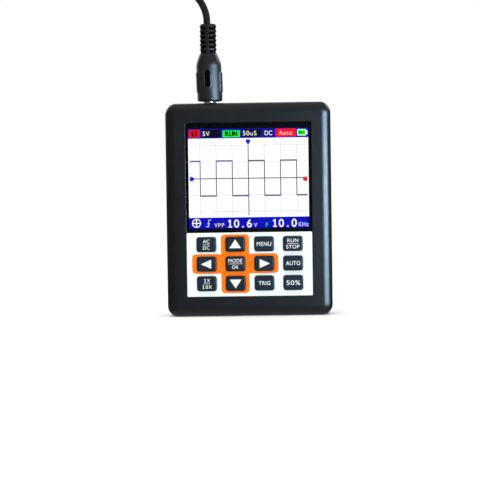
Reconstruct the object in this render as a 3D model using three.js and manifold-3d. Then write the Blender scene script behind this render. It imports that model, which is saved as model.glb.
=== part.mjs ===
// Handheld digital oscilloscope, standing on its bottom end, with its probe plug in the input jack.
// Millimetres. World frame: +Z up, the screen faces -Y, +X is to the right of someone reading the screen,
// and the origin is the middle of the bottom end.
// Pieces are drawn in a face frame, which the outer group stands up: x right, y up, z out of the screen,
// with z = 0 halfway through the case.
import * as THREE from "three";
import { mergeVertices } from "three/addons/utils/BufferGeometryUtils.js";
import Module from "manifold-3d";

const wasm = await Module();
wasm.setup();

// ---- Driving dimensions ----

const CLEAR = 0.1; // clearance on one side, running or assembly
const SEAT = 0.05; // gap between two pieces that rest on each other
const MARGIN = 1; // how far a cutting tool runs past the surface it cuts, or a rib into its wall

const CASE = { width: 69, height: 89, depth: 20, corner: 4.5, edge: 4, wall: 2, frontWall: 2.6 };
const MIDDLE_Y = CASE.height / 2;
const FRONT_Z = CASE.depth / 2;
const BACK_Z = -CASE.depth / 2;
const FRONT_INSIDE_Z = FRONT_Z - CASE.frontWall;
const BACK_INSIDE_Z = BACK_Z + CASE.wall;
const TOP_INSIDE_Y = CASE.height - CASE.wall;
const INSIDE = {
  width: CASE.width - 2 * CASE.wall,
  height: CASE.height - 2 * CASE.wall,
  corner: CASE.corner - CASE.wall,
};

const PARTING_Z = 2; // where the two shells meet
const TONGUE = { thickness: 0.9, height: 1 };

// The window and the keypad sheet share one recess in the front, and meet edge to edge at the seam.
const SHEET = { width: 52.2, bottom: 8.35, seam: 34.9, top: 80.65, thickness: 0.8, corner: 0.4 };
const SHEET_RECESS = 1;
const SHEET_BACK_Z = FRONT_Z - SHEET_RECESS + SEAT;

const SCREEN = { width: 50.9, height: 42.2, corner: 0.5, y: 57.4 };
const PANEL = { width: 55, height: 44.3, thickness: 1.65, backZ: 5.65, y: 57.2 };
const PANEL_TRAY = { width: 58, height: 45.6, corner: 0.8, backZ: 3, frontZ: 7.2 };
const RIBBON = { width: 16, thickness: 0.2, frontZ: 5, tuck: 5 };

const KEY = { width: 8, height: 6, corner: 0.95, chamfer: 0.35, proud: 1, travel: 0.3, footRadius: 1.4 };
const KEY_PITCH = { x: 12, y: 8.15 };
const KEYPAD_MIDDLE_Y = 21.9;
const KEY_FLANGE = { width: 9.4, height: 7.3, corner: 0.6, thickness: 1.1 };
const KEY_BACK_Z = FRONT_INSIDE_Z - KEY_FLANGE.thickness;
const KEY_NAMES = [
  ["ac_dc", "up", "menu", "run_stop"],
  ["left", "ok", "right", "auto"],
  ["attenuation", "down", "trigger", "half_level"],
];

const BOARD = { width: 60.4, bottom: 3.2, top: 85.8, backZ: 1, thickness: 1.6, notch: 5.8 };
const BOARD_FRONT_Z = BOARD.backZ + BOARD.thickness;
const BEHIND_BOARD_Z = BOARD.backZ - SEAT; // where parts soldered to the back of the board begin
const BOARD_POST_RADIUS = 1.5;
const BOARD_POSTS_X = [-28, 28];
const FRONT_POSTS_Y = [14, 31];
const REAR_POSTS_Y = [22, 70];

const CHIP = { side: 7, thickness: 1.4, x: 9, y: 69 };
const SHIELD = { width: 24, height: 17, depth: 2.4, sheet: 0.3, x: -14, y: 67 };
const SWITCH = { side: 4.5, frontZ: 5, plungerRadius: 1.15, plungerBackZ: 4.3, plungerFrontZ: 5.6 };

const BATTERY = { width: 38, height: 48, thickness: 5, corner: 1.6, edge: 1.2, y: 38 };
const TRAY_WALL = { clear: 0.4, thickness: 1, height: 3, gapWidth: 8 };

const SCREW = { x: 27.8, fromEnd: 5.4, shaftRadius: 1.15, headRadius: 1.9, headHeight: 1.5, length: 13 };
const SCREW_TIP = 1.2;
const SCREW_SLOT = { width: 0.5, length: 1.8, depth: 0.75 };
const SCREW_SEAT_Z = -7;
const BOSS_RADIUS = 2.8;

const JACK = { x: -15.8, side: 5.6, bottom: 81.6, floor: 2, collarRadius: 2.65, boreRadius: 1.85, top: 89.8 };
const JACK_Z = BEHIND_BOARD_Z - JACK.side / 2;

const USB = { x: 6, width: 7.6, depth: 2.7, corner: 0.5, metal: 0.3, bottom: 83.3, top: 88.8 };
const USB_Z = BEHIND_BOARD_Z - USB.depth / 2;
const USB_CONTACTS = { width: 4.4, thickness: 0.6, set: 0.45, bottom: 83.4, top: 87.4 };

const LIGHT = { x: 13, z: -0.6, radius: 1, bottom: 84, top: 88.85, footSide: 3, footHeight: 2 };

const POWER = { x: 20, z: -0.9, travel: 2, clear: 0.2, width: 7.4, depth: 3.5, bottom: 82.4, top: 86.6 };
const SLIDER = { thickness: 1.6, footWidth: 3, footBottom: 84.8, footTop: 86.4, nubWidth: 2.4, top: 88.85 };
const SCOOP = { length: 9, width: 3.8, corner: 1.8, depth: 0.7 };

const LABEL_RECESS = { width: 44, height: 36, corner: 1.5, depth: 0.3, y: 44.5 };

// Heights along the plug, from its mouth to the end of its ribbed boot.
const PLUG = { bottom: 90.05, wide: 105.2, neck: 110.3, top: 122.6, radius: 5.25, bootRadius: 3.5 };
const PLUG_POCKET = { radius: 2.5, top: 97.2 };
const PLUG_TURN = THREE.MathUtils.degToRad(-5); // the plug's front face looks a little to the left
const CONTACT_PIN = { radius: 0.45, bottom: 84.2 };
const CONTACT_NOSE = { radius: 1.75, bore: 1.25, bottom: 85.2, depth: 1.2 };
const GRIP = { bottom: 94, top: 102.3, radius: 5.6, width: 5.4 };
const THUMB_DISH = { width: 2.4, height: 7.2, depth: 0.55, y: 99.4 };
const BOOT_SLOTS = { count: 6, first: 110.9, pitch: 1.93, height: 0.9, floor: 2.6, spine: 1.7 };

const LEAD = { radius: 1.45, bore: 0.95, coreRadius: 0.85, bottom: 98, bendStart: 123.4, bend: 15.7, turn: 70 };
const CORE_PROUD = 1.5; // how far the core stands out of the jacket at the cut end

// ---- Materials ----

function plastic(color, roughness) {
  return new THREE.MeshStandardMaterial({ color, roughness, metalness: 0 });
}

function metal(color, roughness) {
  return new THREE.MeshStandardMaterial({ color, roughness, metalness: 1 });
}

function clearPlastic(color, roughness, opacity) {
  return new THREE.MeshStandardMaterial({ color, roughness, metalness: 0, transparent: true, opacity });
}

const MATERIAL = {
  case: plastic(0x1f2124, 0.45),
  key: plastic(0x222a33, 0.5),
  sheet: plastic(0xeefbfa, 0.35),
  window: clearPlastic(0x0a0a0c, 0.08, 0.35),
  screen: plastic(0xf4f6ff, 0.2),
  tray: plastic(0xd9dcdc, 0.6),
  flex: plastic(0xb5702a, 0.5),
  board: plastic(0x14532d, 0.45),
  chip: plastic(0x151515, 0.55),
  foil: metal(0xb9bcc0, 0.4),
  steel: metal(0xb7b9bd, 0.3),
  nickel: metal(0xd4d2cb, 0.2),
  switchBody: plastic(0x2a2a2c, 0.6),
  rubber: plastic(0x1b1c1e, 0.55),
  core: plastic(0xe8e4da, 0.6),
  light: plastic(0xe9f2ee, 0.3),
};

// ---- Drawing helpers ----

function roundedRect(width, height, radius, x = 0, y = 0) {
  const left = x - width / 2;
  const right = x + width / 2;
  const bottom = y - height / 2;
  const top = y + height / 2;
  const shape = new THREE.Shape();
  shape.moveTo(left + radius, bottom);
  shape.lineTo(right - radius, bottom);
  shape.absarc(right - radius, bottom + radius, radius, -Math.PI / 2, 0);
  shape.lineTo(right, top - radius);
  shape.absarc(right - radius, top - radius, radius, 0, Math.PI / 2);
  shape.lineTo(left + radius, top);
  shape.absarc(left + radius, top - radius, radius, Math.PI / 2, Math.PI);
  shape.lineTo(left, bottom + radius);
  shape.absarc(left + radius, bottom + radius, radius, Math.PI, Math.PI * 1.5);
  return shape;
}

function slab(shape, fromZ, toZ, curveSegments = 1) {
  const geometry = new THREE.ExtrudeGeometry(shape, { depth: toZ - fromZ, bevelEnabled: false, curveSegments });
  return geometry.translate(0, 0, fromZ);
}

// A rounded rectangle thickened from fromZ to toZ, with its front and back edges rounded or chamfered.
function softSlab({ width, height, corner, edge, x = 0, y, fromZ, toZ, bevelSegments, curveSegments = 1 }) {
  const core = roundedRect(width - 2 * edge, height - 2 * edge, corner - edge, x, y);
  const geometry = new THREE.ExtrudeGeometry(core, {
    depth: toZ - fromZ - 2 * edge,
    bevelSize: edge,
    bevelThickness: edge,
    bevelSegments,
    curveSegments,
  });
  return geometry.translate(0, 0, fromZ + edge);
}

// A box given by the pair of values where it starts and ends on each axis.
function span([left, right], [bottom, top], [back, front]) {
  const geometry = new THREE.BoxGeometry(right - left, top - bottom, front - back);
  return geometry.translate((left + right) / 2, (bottom + top) / 2, (back + front) / 2);
}

function around(middle, length) {
  return [middle - length / 2, middle + length / 2];
}

function postAlongZ(radius, x, y, fromZ, toZ, segments = 16) {
  const geometry = new THREE.CylinderGeometry(radius, radius, toZ - fromZ, segments);
  return geometry.rotateX(Math.PI / 2).translate(x, y, (fromZ + toZ) / 2);
}

function postAlongY(radius, x, z, fromY, toY, segments = 20) {
  const geometry = new THREE.CylinderGeometry(radius, radius, toY - fromY, segments);
  return geometry.translate(x, (fromY + toY) / 2, z);
}

// A rounded rectangle in x and z, thickened from fromY to toY.
function uprightSlab(width, depth, corner, x, z, fromY, toY, curveSegments = 1) {
  const outline = roundedRect(width, depth, corner, x, -z);
  return slab(outline, fromY, toY, curveSegments).rotateX(-Math.PI / 2);
}

// Turns a closed profile of [radius, height] points about the y axis.
function turned(profile, segments = 24) {
  const points = profile.map(([radius, height]) => new THREE.Vector2(radius, height));
  return new THREE.LatheGeometry(points, segments);
}

// ---- Solids ----

function solid(geometry) {
  const bare = geometry.clone();
  bare.deleteAttribute("normal");
  bare.deleteAttribute("uv");
  const merged = mergeVertices(bare, 1e-4);
  const indices = merged.index.array;
  const triVerts = [];
  for (let i = 0; i < indices.length; i += 3) {
    const [a, b, c] = [indices[i], indices[i + 1], indices[i + 2]];
    if (a !== b && b !== c && c !== a) triVerts.push(a, b, c);
  }
  return new wasm.Manifold(
    new wasm.Mesh({
      numProp: 3,
      vertProperties: new Float32Array(merged.attributes.position.array),
      triVerts: new Uint32Array(triVerts),
    }),
  );
}

function joined(...geometries) {
  return geometries.map(solid).reduce((sum, next) => sum.add(next));
}

function cut(body, ...geometries) {
  return geometries.map(solid).reduce((left, tool) => left.subtract(tool), body);
}

function geometryOf(manifold) {
  const mesh = manifold.getMesh();
  const positions = new Float32Array(mesh.numVert * 3);
  for (let i = 0; i < mesh.numVert; i++) {
    const start = i * mesh.numProp;
    positions.set(mesh.vertProperties.subarray(start, start + 3), i * 3);
  }
  const geometry = new THREE.BufferGeometry();
  geometry.setAttribute("position", new THREE.BufferAttribute(positions, 3));
  geometry.setIndex(new THREE.BufferAttribute(new Uint32Array(mesh.triVerts), 1));
  geometry.computeVertexNormals();
  return geometry;
}

// ---- Places that several pieces share ----

const SCREW_PLACES = [
  { name: "top_left", x: -SCREW.x, y: CASE.height - SCREW.fromEnd },
  { name: "top_right", x: SCREW.x, y: CASE.height - SCREW.fromEnd },
  { name: "bottom_left", x: -SCREW.x, y: SCREW.fromEnd },
  { name: "bottom_right", x: SCREW.x, y: SCREW.fromEnd },
];

const KEY_PLACES = KEY_NAMES.flatMap((names, row) =>
  names.map((name, column) => ({
    name,
    x: (column - (names.length - 1) / 2) * KEY_PITCH.x,
    y: KEYPAD_MIDDLE_Y + (1 - row) * KEY_PITCH.y,
  })),
);

function keyHoles(clearance, fromZ, toZ) {
  const width = KEY.width + 2 * clearance;
  const height = KEY.height + 2 * clearance;
  const corner = KEY.corner + clearance;
  return KEY_PLACES.map(({ x, y }) => slab(roundedRect(width, height, corner, x, y), fromZ, toZ));
}

function screwPosts(radius, fromZ, toZ, segments) {
  return SCREW_PLACES.map(({ x, y }) => postAlongZ(radius, x, y, fromZ, toZ, segments));
}

function boardPosts(heights, fromZ, toZ) {
  return BOARD_POSTS_X.flatMap((x) =>
    heights.map((y) => postAlongZ(BOARD_POST_RADIUS, x, y, fromZ, toZ, 12)),
  );
}

// ---- Case ----

function hollowCase() {
  const outside = softSlab({
    ...CASE, y: MIDDLE_Y, fromZ: BACK_Z, toZ: FRONT_Z, bevelSegments: 6, curveSegments: 3,
  });
  const edge = CASE.edge - CASE.wall;
  const inside = softSlab({
    ...INSIDE, edge, y: MIDDLE_Y, fromZ: BACK_INSIDE_Z, toZ: FRONT_INSIDE_Z, bevelSegments: 1,
  });
  return cut(solid(outside), inside);
}

// Everything in front of z, or behind it where reach is negative.
function halfSpace(z, reach) {
  const ends = [z, z + reach].sort((a, b) => a - b);
  return span(around(0, 2 * CASE.width), around(MIDDLE_Y, 2 * CASE.height), ends);
}

// A slab on the outline of the joint between the shells, grown outwards from the inside wall.
function jointSlab(grow, fromZ, toZ) {
  const outline = roundedRect(
    INSIDE.width + 2 * grow, INSIDE.height + 2 * grow, INSIDE.corner + grow, 0, MIDDLE_Y,
  );
  return slab(outline, fromZ, toZ);
}

function frontCase() {
  const bottomZ = PARTING_Z + SEAT;
  const rootZ = FRONT_INSIDE_Z + MARGIN / 2;
  const shell = cut(
    hollowCase(),
    halfSpace(bottomZ, -CASE.depth),
    jointSlab(TONGUE.thickness + CLEAR, 0, PARTING_Z + TONGUE.height + CLEAR),
  );
  const ribs = joined(
    ...screwPosts(BOSS_RADIUS, bottomZ, rootZ),
    ...boardPosts(FRONT_POSTS_Y, BOARD_FRONT_Z + CLEAR, rootZ),
  );
  const recess = roundedRect(
    SHEET.width + 3 * CLEAR, SHEET.top - SHEET.bottom + 3 * CLEAR, SHEET.corner + CLEAR,
    0, (SHEET.top + SHEET.bottom) / 2,
  );
  const opening = roundedRect(SCREEN.width, SCREEN.height, SCREEN.corner, 0, SCREEN.y);
  return cut(
    shell.add(ribs),
    ...screwPosts(SCREW.shaftRadius + CLEAR, 0, SCREW_SEAT_Z + SCREW.length + CLEAR, 12),
    slab(recess, FRONT_Z - SHEET_RECESS, FRONT_Z + MARGIN),
    slab(opening, FRONT_INSIDE_Z - MARGIN, FRONT_Z),
    ...keyHoles(0.25, FRONT_INSIDE_Z - MARGIN, FRONT_Z),
  );
}

function topWallOpenings() {
  const low = TOP_INSIDE_Y - MARGIN;
  const high = CASE.height + MARGIN;
  const sliderMiddle = POWER.x + POWER.travel / 2;
  const slot = span(
    around(sliderMiddle, SLIDER.nubWidth + POWER.travel + 2 * POWER.clear),
    [low, high],
    around(POWER.z, SLIDER.thickness + 2 * POWER.clear),
  );
  const mouth = 2 * 0.25; // the charging socket's opening is this much larger than the socket
  return [
    postAlongY(JACK.collarRadius + 0.2, JACK.x, JACK_Z, low, high),
    postAlongY(LIGHT.radius + 0.15, LIGHT.x, LIGHT.z, low, high, 12),
    uprightSlab(USB.width + mouth, USB.depth + mouth, USB.corner + mouth / 2, USB.x, USB_Z, low, high),
    uprightSlab(
      SCOOP.length, SCOOP.width, SCOOP.corner, sliderMiddle, POWER.z, CASE.height - SCOOP.depth, high, 3,
    ),
    slot,
  ];
}

// A low wall round the battery, open at the top for its wires.
function batteryWall() {
  const frame = (grow, fromZ, toZ) =>
    slab(roundedRect(BATTERY.width + 2 * grow, BATTERY.height + 2 * grow, 1, 0, BATTERY.y), fromZ, toZ);
  const rim = BACK_INSIDE_Z + TRAY_WALL.height;
  return cut(
    solid(frame(TRAY_WALL.clear + TRAY_WALL.thickness, BACK_INSIDE_Z - MARGIN / 2, rim)),
    frame(TRAY_WALL.clear, BACK_INSIDE_Z - MARGIN, rim + MARGIN),
    span(around(0, TRAY_WALL.gapWidth), [BATTERY.y, BATTERY.y + BATTERY.height], [BACK_INSIDE_Z, rim + MARGIN]),
  );
}

function rearCase() {
  const topZ = PARTING_Z - SEAT;
  const rootZ = BACK_INSIDE_Z - MARGIN / 2;
  const tongue = cut(
    solid(jointSlab(TONGUE.thickness, PARTING_Z - MARGIN, PARTING_Z + TONGUE.height)),
    jointSlab(0, PARTING_Z - 2 * MARGIN, PARTING_Z + 2 * MARGIN),
  );
  const ribs = joined(
    ...screwPosts(BOSS_RADIUS, rootZ, topZ),
    ...boardPosts(REAR_POSTS_Y, rootZ, BOARD.backZ - CLEAR),
  );
  const label = roundedRect(LABEL_RECESS.width, LABEL_RECESS.height, LABEL_RECESS.corner, 0, LABEL_RECESS.y);
  return cut(
    cut(hollowCase(), halfSpace(topZ, CASE.depth)).add(tongue).add(ribs).add(batteryWall()),
    // The front shell's bosses stand where the tongue would pass.
    ...screwPosts(BOSS_RADIUS + 2 * CLEAR, topZ, PARTING_Z + 2 * MARGIN),
    ...screwPosts(SCREW.shaftRadius + 2 * CLEAR, BACK_Z, PARTING_Z, 12),
    ...screwPosts(SCREW.headRadius + 2 * CLEAR, BACK_Z - MARGIN, SCREW_SEAT_Z),
    ...topWallOpenings(),
    slab(label, BACK_Z - MARGIN, BACK_Z + LABEL_RECESS.depth, 3),
  );
}

// Drawn with its tip at the origin and its head up the y axis.
function screw() {
  const headTop = SCREW.length + SCREW.headHeight;
  const turnedScrew = turned([
    [0, 0],
    [SCREW.shaftRadius / 2, 0],
    [SCREW.shaftRadius, SCREW_TIP],
    [SCREW.shaftRadius, SCREW.length],
    [SCREW.headRadius, SCREW.length],
    [SCREW.headRadius, SCREW.length + SCREW.headHeight / 2],
    [SCREW.headRadius * 0.7, headTop],
    [0, headTop],
  ], 12);
  const slotHeight = [headTop - SCREW_SLOT.depth, headTop + MARGIN];
  const [long, narrow] = [around(0, SCREW_SLOT.length), around(0, SCREW_SLOT.width)];
  return cut(solid(turnedScrew), span(long, slotHeight, narrow), span(narrow, slotHeight, long));
}

// ---- Front sheets ----

function frontSheet(bottom, top) {
  const outline = roundedRect(SHEET.width, top - bottom, SHEET.corner, 0, (top + bottom) / 2);
  return solid(slab(outline, SHEET_BACK_Z, SHEET_BACK_Z + SHEET.thickness));
}

function screenWindow() {
  return frontSheet(SHEET.seam + SEAT, SHEET.top);
}

function keypadSheet() {
  return cut(frontSheet(SHEET.bottom, SHEET.seam), ...keyHoles(0.15, FRONT_INSIDE_Z, FRONT_Z + MARGIN));
}

// ---- Display ----

function displayPanel() {
  return span(
    around(0, PANEL.width), around(PANEL.y, PANEL.height), [PANEL.backZ, PANEL.backZ + PANEL.thickness],
  );
}

function displayTray() {
  const outline = roundedRect(PANEL_TRAY.width, PANEL_TRAY.height, PANEL_TRAY.corner, 0, PANEL.y);
  const pocket = span(
    around(0, PANEL.width + 3 * CLEAR),
    around(PANEL.y, PANEL.height + 3 * CLEAR),
    [PANEL.backZ - SEAT, FRONT_Z],
  );
  return cut(solid(slab(outline, PANEL_TRAY.backZ, PANEL_TRAY.frontZ)), pocket);
}

// The ribbon leaves the right side of the display, passes the edge of the board and folds in behind it.
function displayRibbon() {
  const start = PANEL_TRAY.width / 2 + SEAT;
  const out = BOARD.width / 2 + 5 * CLEAR;
  const behind = BEHIND_BOARD_Z - 3 * CLEAR;
  const outline = new THREE.Shape();
  outline.moveTo(start, RIBBON.frontZ);
  outline.lineTo(out, RIBBON.frontZ);
  outline.lineTo(out, behind);
  outline.lineTo(start - RIBBON.tuck, behind);
  outline.lineTo(start - RIBBON.tuck, behind - RIBBON.thickness);
  outline.lineTo(out + RIBBON.thickness, behind - RIBBON.thickness);
  outline.lineTo(out + RIBBON.thickness, RIBBON.frontZ + RIBBON.thickness);
  outline.lineTo(start, RIBBON.frontZ + RIBBON.thickness);
  return slab(outline, 0, RIBBON.width).rotateX(Math.PI / 2).translate(0, PANEL.y + RIBBON.width / 2, 0);
}

// ---- Board and what is soldered to it ----

// A rectangle with a square notch in each corner, where the screw bosses stand.
function mainBoard() {
  const { width, bottom, top, notch, backZ } = BOARD;
  return joined(
    span(around(0, width), [bottom + notch, top - notch], [backZ, BOARD_FRONT_Z]),
    span(around(0, width - 2 * notch), [bottom, top], [backZ, BOARD_FRONT_Z]),
  );
}

function processorChip() {
  return span(
    around(CHIP.x, CHIP.side), around(CHIP.y, CHIP.side), [BEHIND_BOARD_Z - CHIP.thickness, BEHIND_BOARD_Z],
  );
}

// A shallow steel box over the input stage, open towards the board.
function shieldCan() {
  const { width, height, depth, sheet, x, y } = SHIELD;
  const back = BEHIND_BOARD_Z - depth;
  return cut(
    solid(span(around(x, width), around(y, height), [back, BEHIND_BOARD_Z])),
    span(around(x, width - 2 * sheet), around(y, height - 2 * sheet), [back + sheet, BEHIND_BOARD_Z + MARGIN]),
  );
}

function batteryCell() {
  const back = BACK_INSIDE_Z + CLEAR;
  return softSlab({ ...BATTERY, fromZ: back, toZ: back + BATTERY.thickness, bevelSegments: 2 });
}

function inputJack() {
  const body = span(
    around(JACK.x, JACK.side), [JACK.bottom, TOP_INSIDE_Y - 2 * CLEAR], around(JACK_Z, JACK.side),
  );
  const collar = postAlongY(JACK.collarRadius, JACK.x, JACK_Z, TOP_INSIDE_Y - MARGIN, JACK.top, 24);
  const bore = postAlongY(JACK.boreRadius, JACK.x, JACK_Z, JACK.bottom + JACK.floor, JACK.top + MARGIN, 24);
  return cut(joined(body, collar), bore);
}

function usbSocket() {
  const { width, depth, corner, metal: sheet, x, bottom, top } = USB;
  const shell = uprightSlab(width, depth, corner, x, USB_Z, bottom, top);
  const mouth = uprightSlab(
    width - 2 * sheet, depth - 2 * sheet, corner - sheet / 2, x, USB_Z, bottom + sheet, top + MARGIN,
  );
  const contacts = span(
    around(x, USB_CONTACTS.width),
    [USB_CONTACTS.bottom, USB_CONTACTS.top],
    around(USB_Z + USB_CONTACTS.set, USB_CONTACTS.thickness),
  );
  return cut(solid(shell), mouth).add(solid(contacts));
}

function chargeLight() {
  const pipe = postAlongY(LIGHT.radius, LIGHT.x, LIGHT.z, LIGHT.bottom, LIGHT.top, 12);
  const foot = span(
    around(LIGHT.x, LIGHT.footSide),
    around(LIGHT.bottom, LIGHT.footHeight),
    [LIGHT.z - LIGHT.radius, BEHIND_BOARD_Z],
  );
  return joined(pipe, foot);
}

function powerSwitchBody() {
  const middle = POWER.x + POWER.travel / 2;
  const block = span(
    around(middle, POWER.width),
    [POWER.bottom, POWER.top],
    [BEHIND_BOARD_Z - POWER.depth, BEHIND_BOARD_Z],
  );
  const channel = span(
    around(middle, SLIDER.footWidth + POWER.travel + 2 * POWER.clear),
    [SLIDER.footBottom - POWER.clear, POWER.top + MARGIN],
    around(POWER.z, SLIDER.thickness + 2 * POWER.clear),
  );
  return cut(solid(block), channel);
}

function powerSwitchSlider() {
  const thickness = around(POWER.z, SLIDER.thickness);
  return joined(
    span(around(POWER.x, SLIDER.footWidth), [SLIDER.footBottom, SLIDER.footTop], thickness),
    span(around(POWER.x, SLIDER.nubWidth), [SLIDER.footTop - CLEAR, SLIDER.top], thickness),
  );
}

// ---- Keys ----

function switchBody({ x, y }) {
  const base = span(around(x, SWITCH.side), around(y, SWITCH.side), [BOARD_FRONT_Z + SEAT, SWITCH.frontZ]);
  const wellFloor = SWITCH.plungerBackZ - 2 * KEY.travel;
  const well = postAlongZ(SWITCH.plungerRadius + CLEAR, x, y, wellFloor, SWITCH.frontZ + MARGIN, 10);
  return cut(solid(base), well);
}

function switchPlunger({ x, y }) {
  return postAlongZ(SWITCH.plungerRadius, x, y, SWITCH.plungerBackZ, SWITCH.plungerFrontZ, 10);
}

// A cap with a flange that keeps it behind the case's front wall, and a foot over its switch.
function keyCap({ x, y }) {
  const cap = softSlab({
    width: KEY.width, height: KEY.height, corner: KEY.corner, edge: KEY.chamfer,
    x, y, fromZ: KEY_BACK_Z, toZ: FRONT_Z + KEY.proud, bevelSegments: 1,
  });
  const flange = roundedRect(KEY_FLANGE.width, KEY_FLANGE.height, KEY_FLANGE.corner, x, y);
  return joined(
    cap,
    slab(flange, KEY_BACK_Z - SEAT, FRONT_INSIDE_Z - SEAT),
    postAlongZ(KEY.footRadius, x, y, SWITCH.plungerFrontZ + SEAT, KEY_BACK_Z + CLEAR, 10),
  );
}

// ---- Probe plug and its lead, drawn about their own upright axis ----

// A sprung nose round a centre pin, on a plain body that fills the barrel's pocket.
function plugContact() {
  const { radius, bore, bottom, depth } = CONTACT_NOSE;
  const shoulder = PLUG.bottom + 3 * CLEAR;
  const bodyRadius = PLUG_POCKET.radius - CLEAR;
  return solid(turned([
    [0, CONTACT_PIN.bottom],
    [CONTACT_PIN.radius, CONTACT_PIN.bottom],
    [CONTACT_PIN.radius, bottom + depth],
    [bore, bottom + depth],
    [bore, bottom],
    [radius - SEAT, bottom],
    [radius, bottom + depth / 2],
    [radius, shoulder],
    [bodyRadius, shoulder],
    [bodyRadius, PLUG_POCKET.top - CLEAR],
    [0, PLUG_POCKET.top - CLEAR],
  ]));
}

function barrelAndBoot() {
  const { bottom, wide, neck, top, radius, bootRadius } = PLUG;
  return solid(turned([
    [0, bottom],
    [radius - 0.5, bottom],
    [radius - 0.15, bottom + 0.15],
    [radius, bottom + 0.5],
    [radius, wide],
    [radius - 0.15, wide + 1],
    [radius - 0.45, wide + 2],
    [radius - 0.95, wide + 3],
    [bootRadius, neck],
    [bootRadius, top - 0.8],
    [bootRadius - 0.25, top - 0.25],
    [bootRadius - 0.8, top],
    [0, top],
  ]));
}

// Raised pads on the left and right of the barrel.
function gripPads() {
  const ring = solid(postAlongY(GRIP.radius, 0, 0, GRIP.bottom, GRIP.top, 36));
  const band = span(around(0, 4 * GRIP.radius), [GRIP.bottom, GRIP.top], around(0, GRIP.width));
  return ring.intersect(solid(band));
}

function thumbDish() {
  const { width, height, depth, y } = THUMB_DISH;
  return new THREE.SphereGeometry(1, 12, 8).scale(width / 2, height / 2, depth).translate(0, y, PLUG.radius);
}

// Slots round both sides of the boot leave a spine at its front and its back.
function bootSlot(middle) {
  const [low, high] = around(middle, BOOT_SLOTS.height);
  const outer = 2 * PLUG.bootRadius;
  const ring = turned([
    [BOOT_SLOTS.floor, low],
    [outer, low],
    [outer, high],
    [BOOT_SLOTS.floor, high],
    [BOOT_SLOTS.floor, low],
  ], 16);
  const spines = span(around(0, BOOT_SLOTS.spine), [low - MARGIN, high + MARGIN], around(0, 4 * outer));
  return cut(solid(ring), spines);
}

// The lead runs straight up the plug's axis and then bends over to the left.
class LeadPath extends THREE.Curve {
  constructor(extra) {
    super();
    this.straight = LEAD.bendStart - LEAD.bottom;
    this.arc = LEAD.bend * THREE.MathUtils.degToRad(LEAD.turn);
    this.total = this.straight + this.arc + extra;
  }

  getPoint(share) {
    const along = share * this.total;
    if (along <= this.straight) return new THREE.Vector3(0, LEAD.bottom + along, 0);
    const swept = Math.min(along - this.straight, this.arc);
    const angle = swept / LEAD.bend;
    const past = along - this.straight - swept;
    return new THREE.Vector3(
      -LEAD.bend * (1 - Math.cos(angle)) - past * Math.sin(angle),
      LEAD.bendStart + LEAD.bend * Math.sin(angle) + past * Math.cos(angle),
      0,
    );
  }
}

function alongLead(radius, { extra = 0, bore = 0 } = {}) {
  const ring = new THREE.Shape().absarc(0, 0, radius, 0, Math.PI * 2);
  if (bore) ring.holes.push(new THREE.Path().absarc(0, 0, bore, 0, Math.PI * 2, true));
  return new THREE.ExtrudeGeometry(ring, {
    steps: 18, curveSegments: 5, bevelEnabled: false, extrudePath: new LeadPath(extra),
  });
}

function plugBarrel() {
  let barrel = barrelAndBoot().add(gripPads());
  for (let i = 0; i < BOOT_SLOTS.count; i++) {
    barrel = barrel.subtract(bootSlot(BOOT_SLOTS.first + i * BOOT_SLOTS.pitch));
  }
  return cut(
    barrel,
    thumbDish(),
    postAlongY(PLUG_POCKET.radius, 0, 0, PLUG.bottom - MARGIN, PLUG_POCKET.top, 24),
    postAlongY(LEAD.radius + CLEAR, 0, 0, PLUG_POCKET.top - MARGIN, LEAD.bottom + MARGIN, 16),
    alongLead(LEAD.radius + CLEAR),
  );
}

// ---- Assembly ----

const face = new THREE.Group(); // the face frame

function add(name, shape, material, parent = face) {
  const geometry = shape.isBufferGeometry ? shape : geometryOf(shape);
  const mesh = new THREE.Mesh(geometry, material);
  mesh.name = name;
  parent.add(mesh);
  return mesh;
}

add("front_case", frontCase(), MATERIAL.case);
add("rear_case", rearCase(), MATERIAL.case);
for (const { name, x, y } of SCREW_PLACES) {
  const mesh = add(`case_screw_${name}`, screw(), MATERIAL.steel);
  mesh.rotation.x = -Math.PI / 2; // its head faces the back
  mesh.position.set(x, y, SCREW_SEAT_Z + SCREW.length - SEAT);
}

add("screen_window", screenWindow(), MATERIAL.window);
add("keypad_sheet", keypadSheet(), MATERIAL.sheet);
add("display_panel", displayPanel(), MATERIAL.screen);
add("display_tray", displayTray(), MATERIAL.tray);
add("display_ribbon", displayRibbon(), MATERIAL.flex);

add("main_board", mainBoard(), MATERIAL.board);
add("processor_chip", processorChip(), MATERIAL.chip);
add("shield_can", shieldCan(), MATERIAL.steel);
add("battery_cell", batteryCell(), MATERIAL.foil);
add("input_jack", inputJack(), MATERIAL.nickel);
add("usb_socket", usbSocket(), MATERIAL.steel);
add("charge_light", chargeLight(), MATERIAL.light);
add("power_switch_body", powerSwitchBody(), MATERIAL.steel);
add("power_switch_slider", powerSwitchSlider(), MATERIAL.chip);

for (const place of KEY_PLACES) {
  add(`key_${place.name}`, keyCap(place), MATERIAL.key);
  add(`switch_body_${place.name}`, switchBody(place), MATERIAL.switchBody);
  add(`switch_plunger_${place.name}`, switchPlunger(place), MATERIAL.chip);
}

const plug = new THREE.Group();
plug.position.set(JACK.x, 0, JACK_Z);
plug.rotation.y = PLUG_TURN;
face.add(plug);
add("plug_contact", plugContact(), MATERIAL.nickel, plug);
add("plug_barrel", plugBarrel(), MATERIAL.rubber, plug);
add("probe_cable", alongLead(LEAD.radius, { bore: LEAD.bore }), MATERIAL.rubber, plug);
add("cable_core", alongLead(LEAD.coreRadius, { extra: CORE_PROUD }), MATERIAL.core, plug);

const oscilloscope = new THREE.Group();
face.rotation.x = Math.PI / 2; // stands the face frame up: its y becomes +Z and its z becomes -Y
oscilloscope.add(face);

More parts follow.
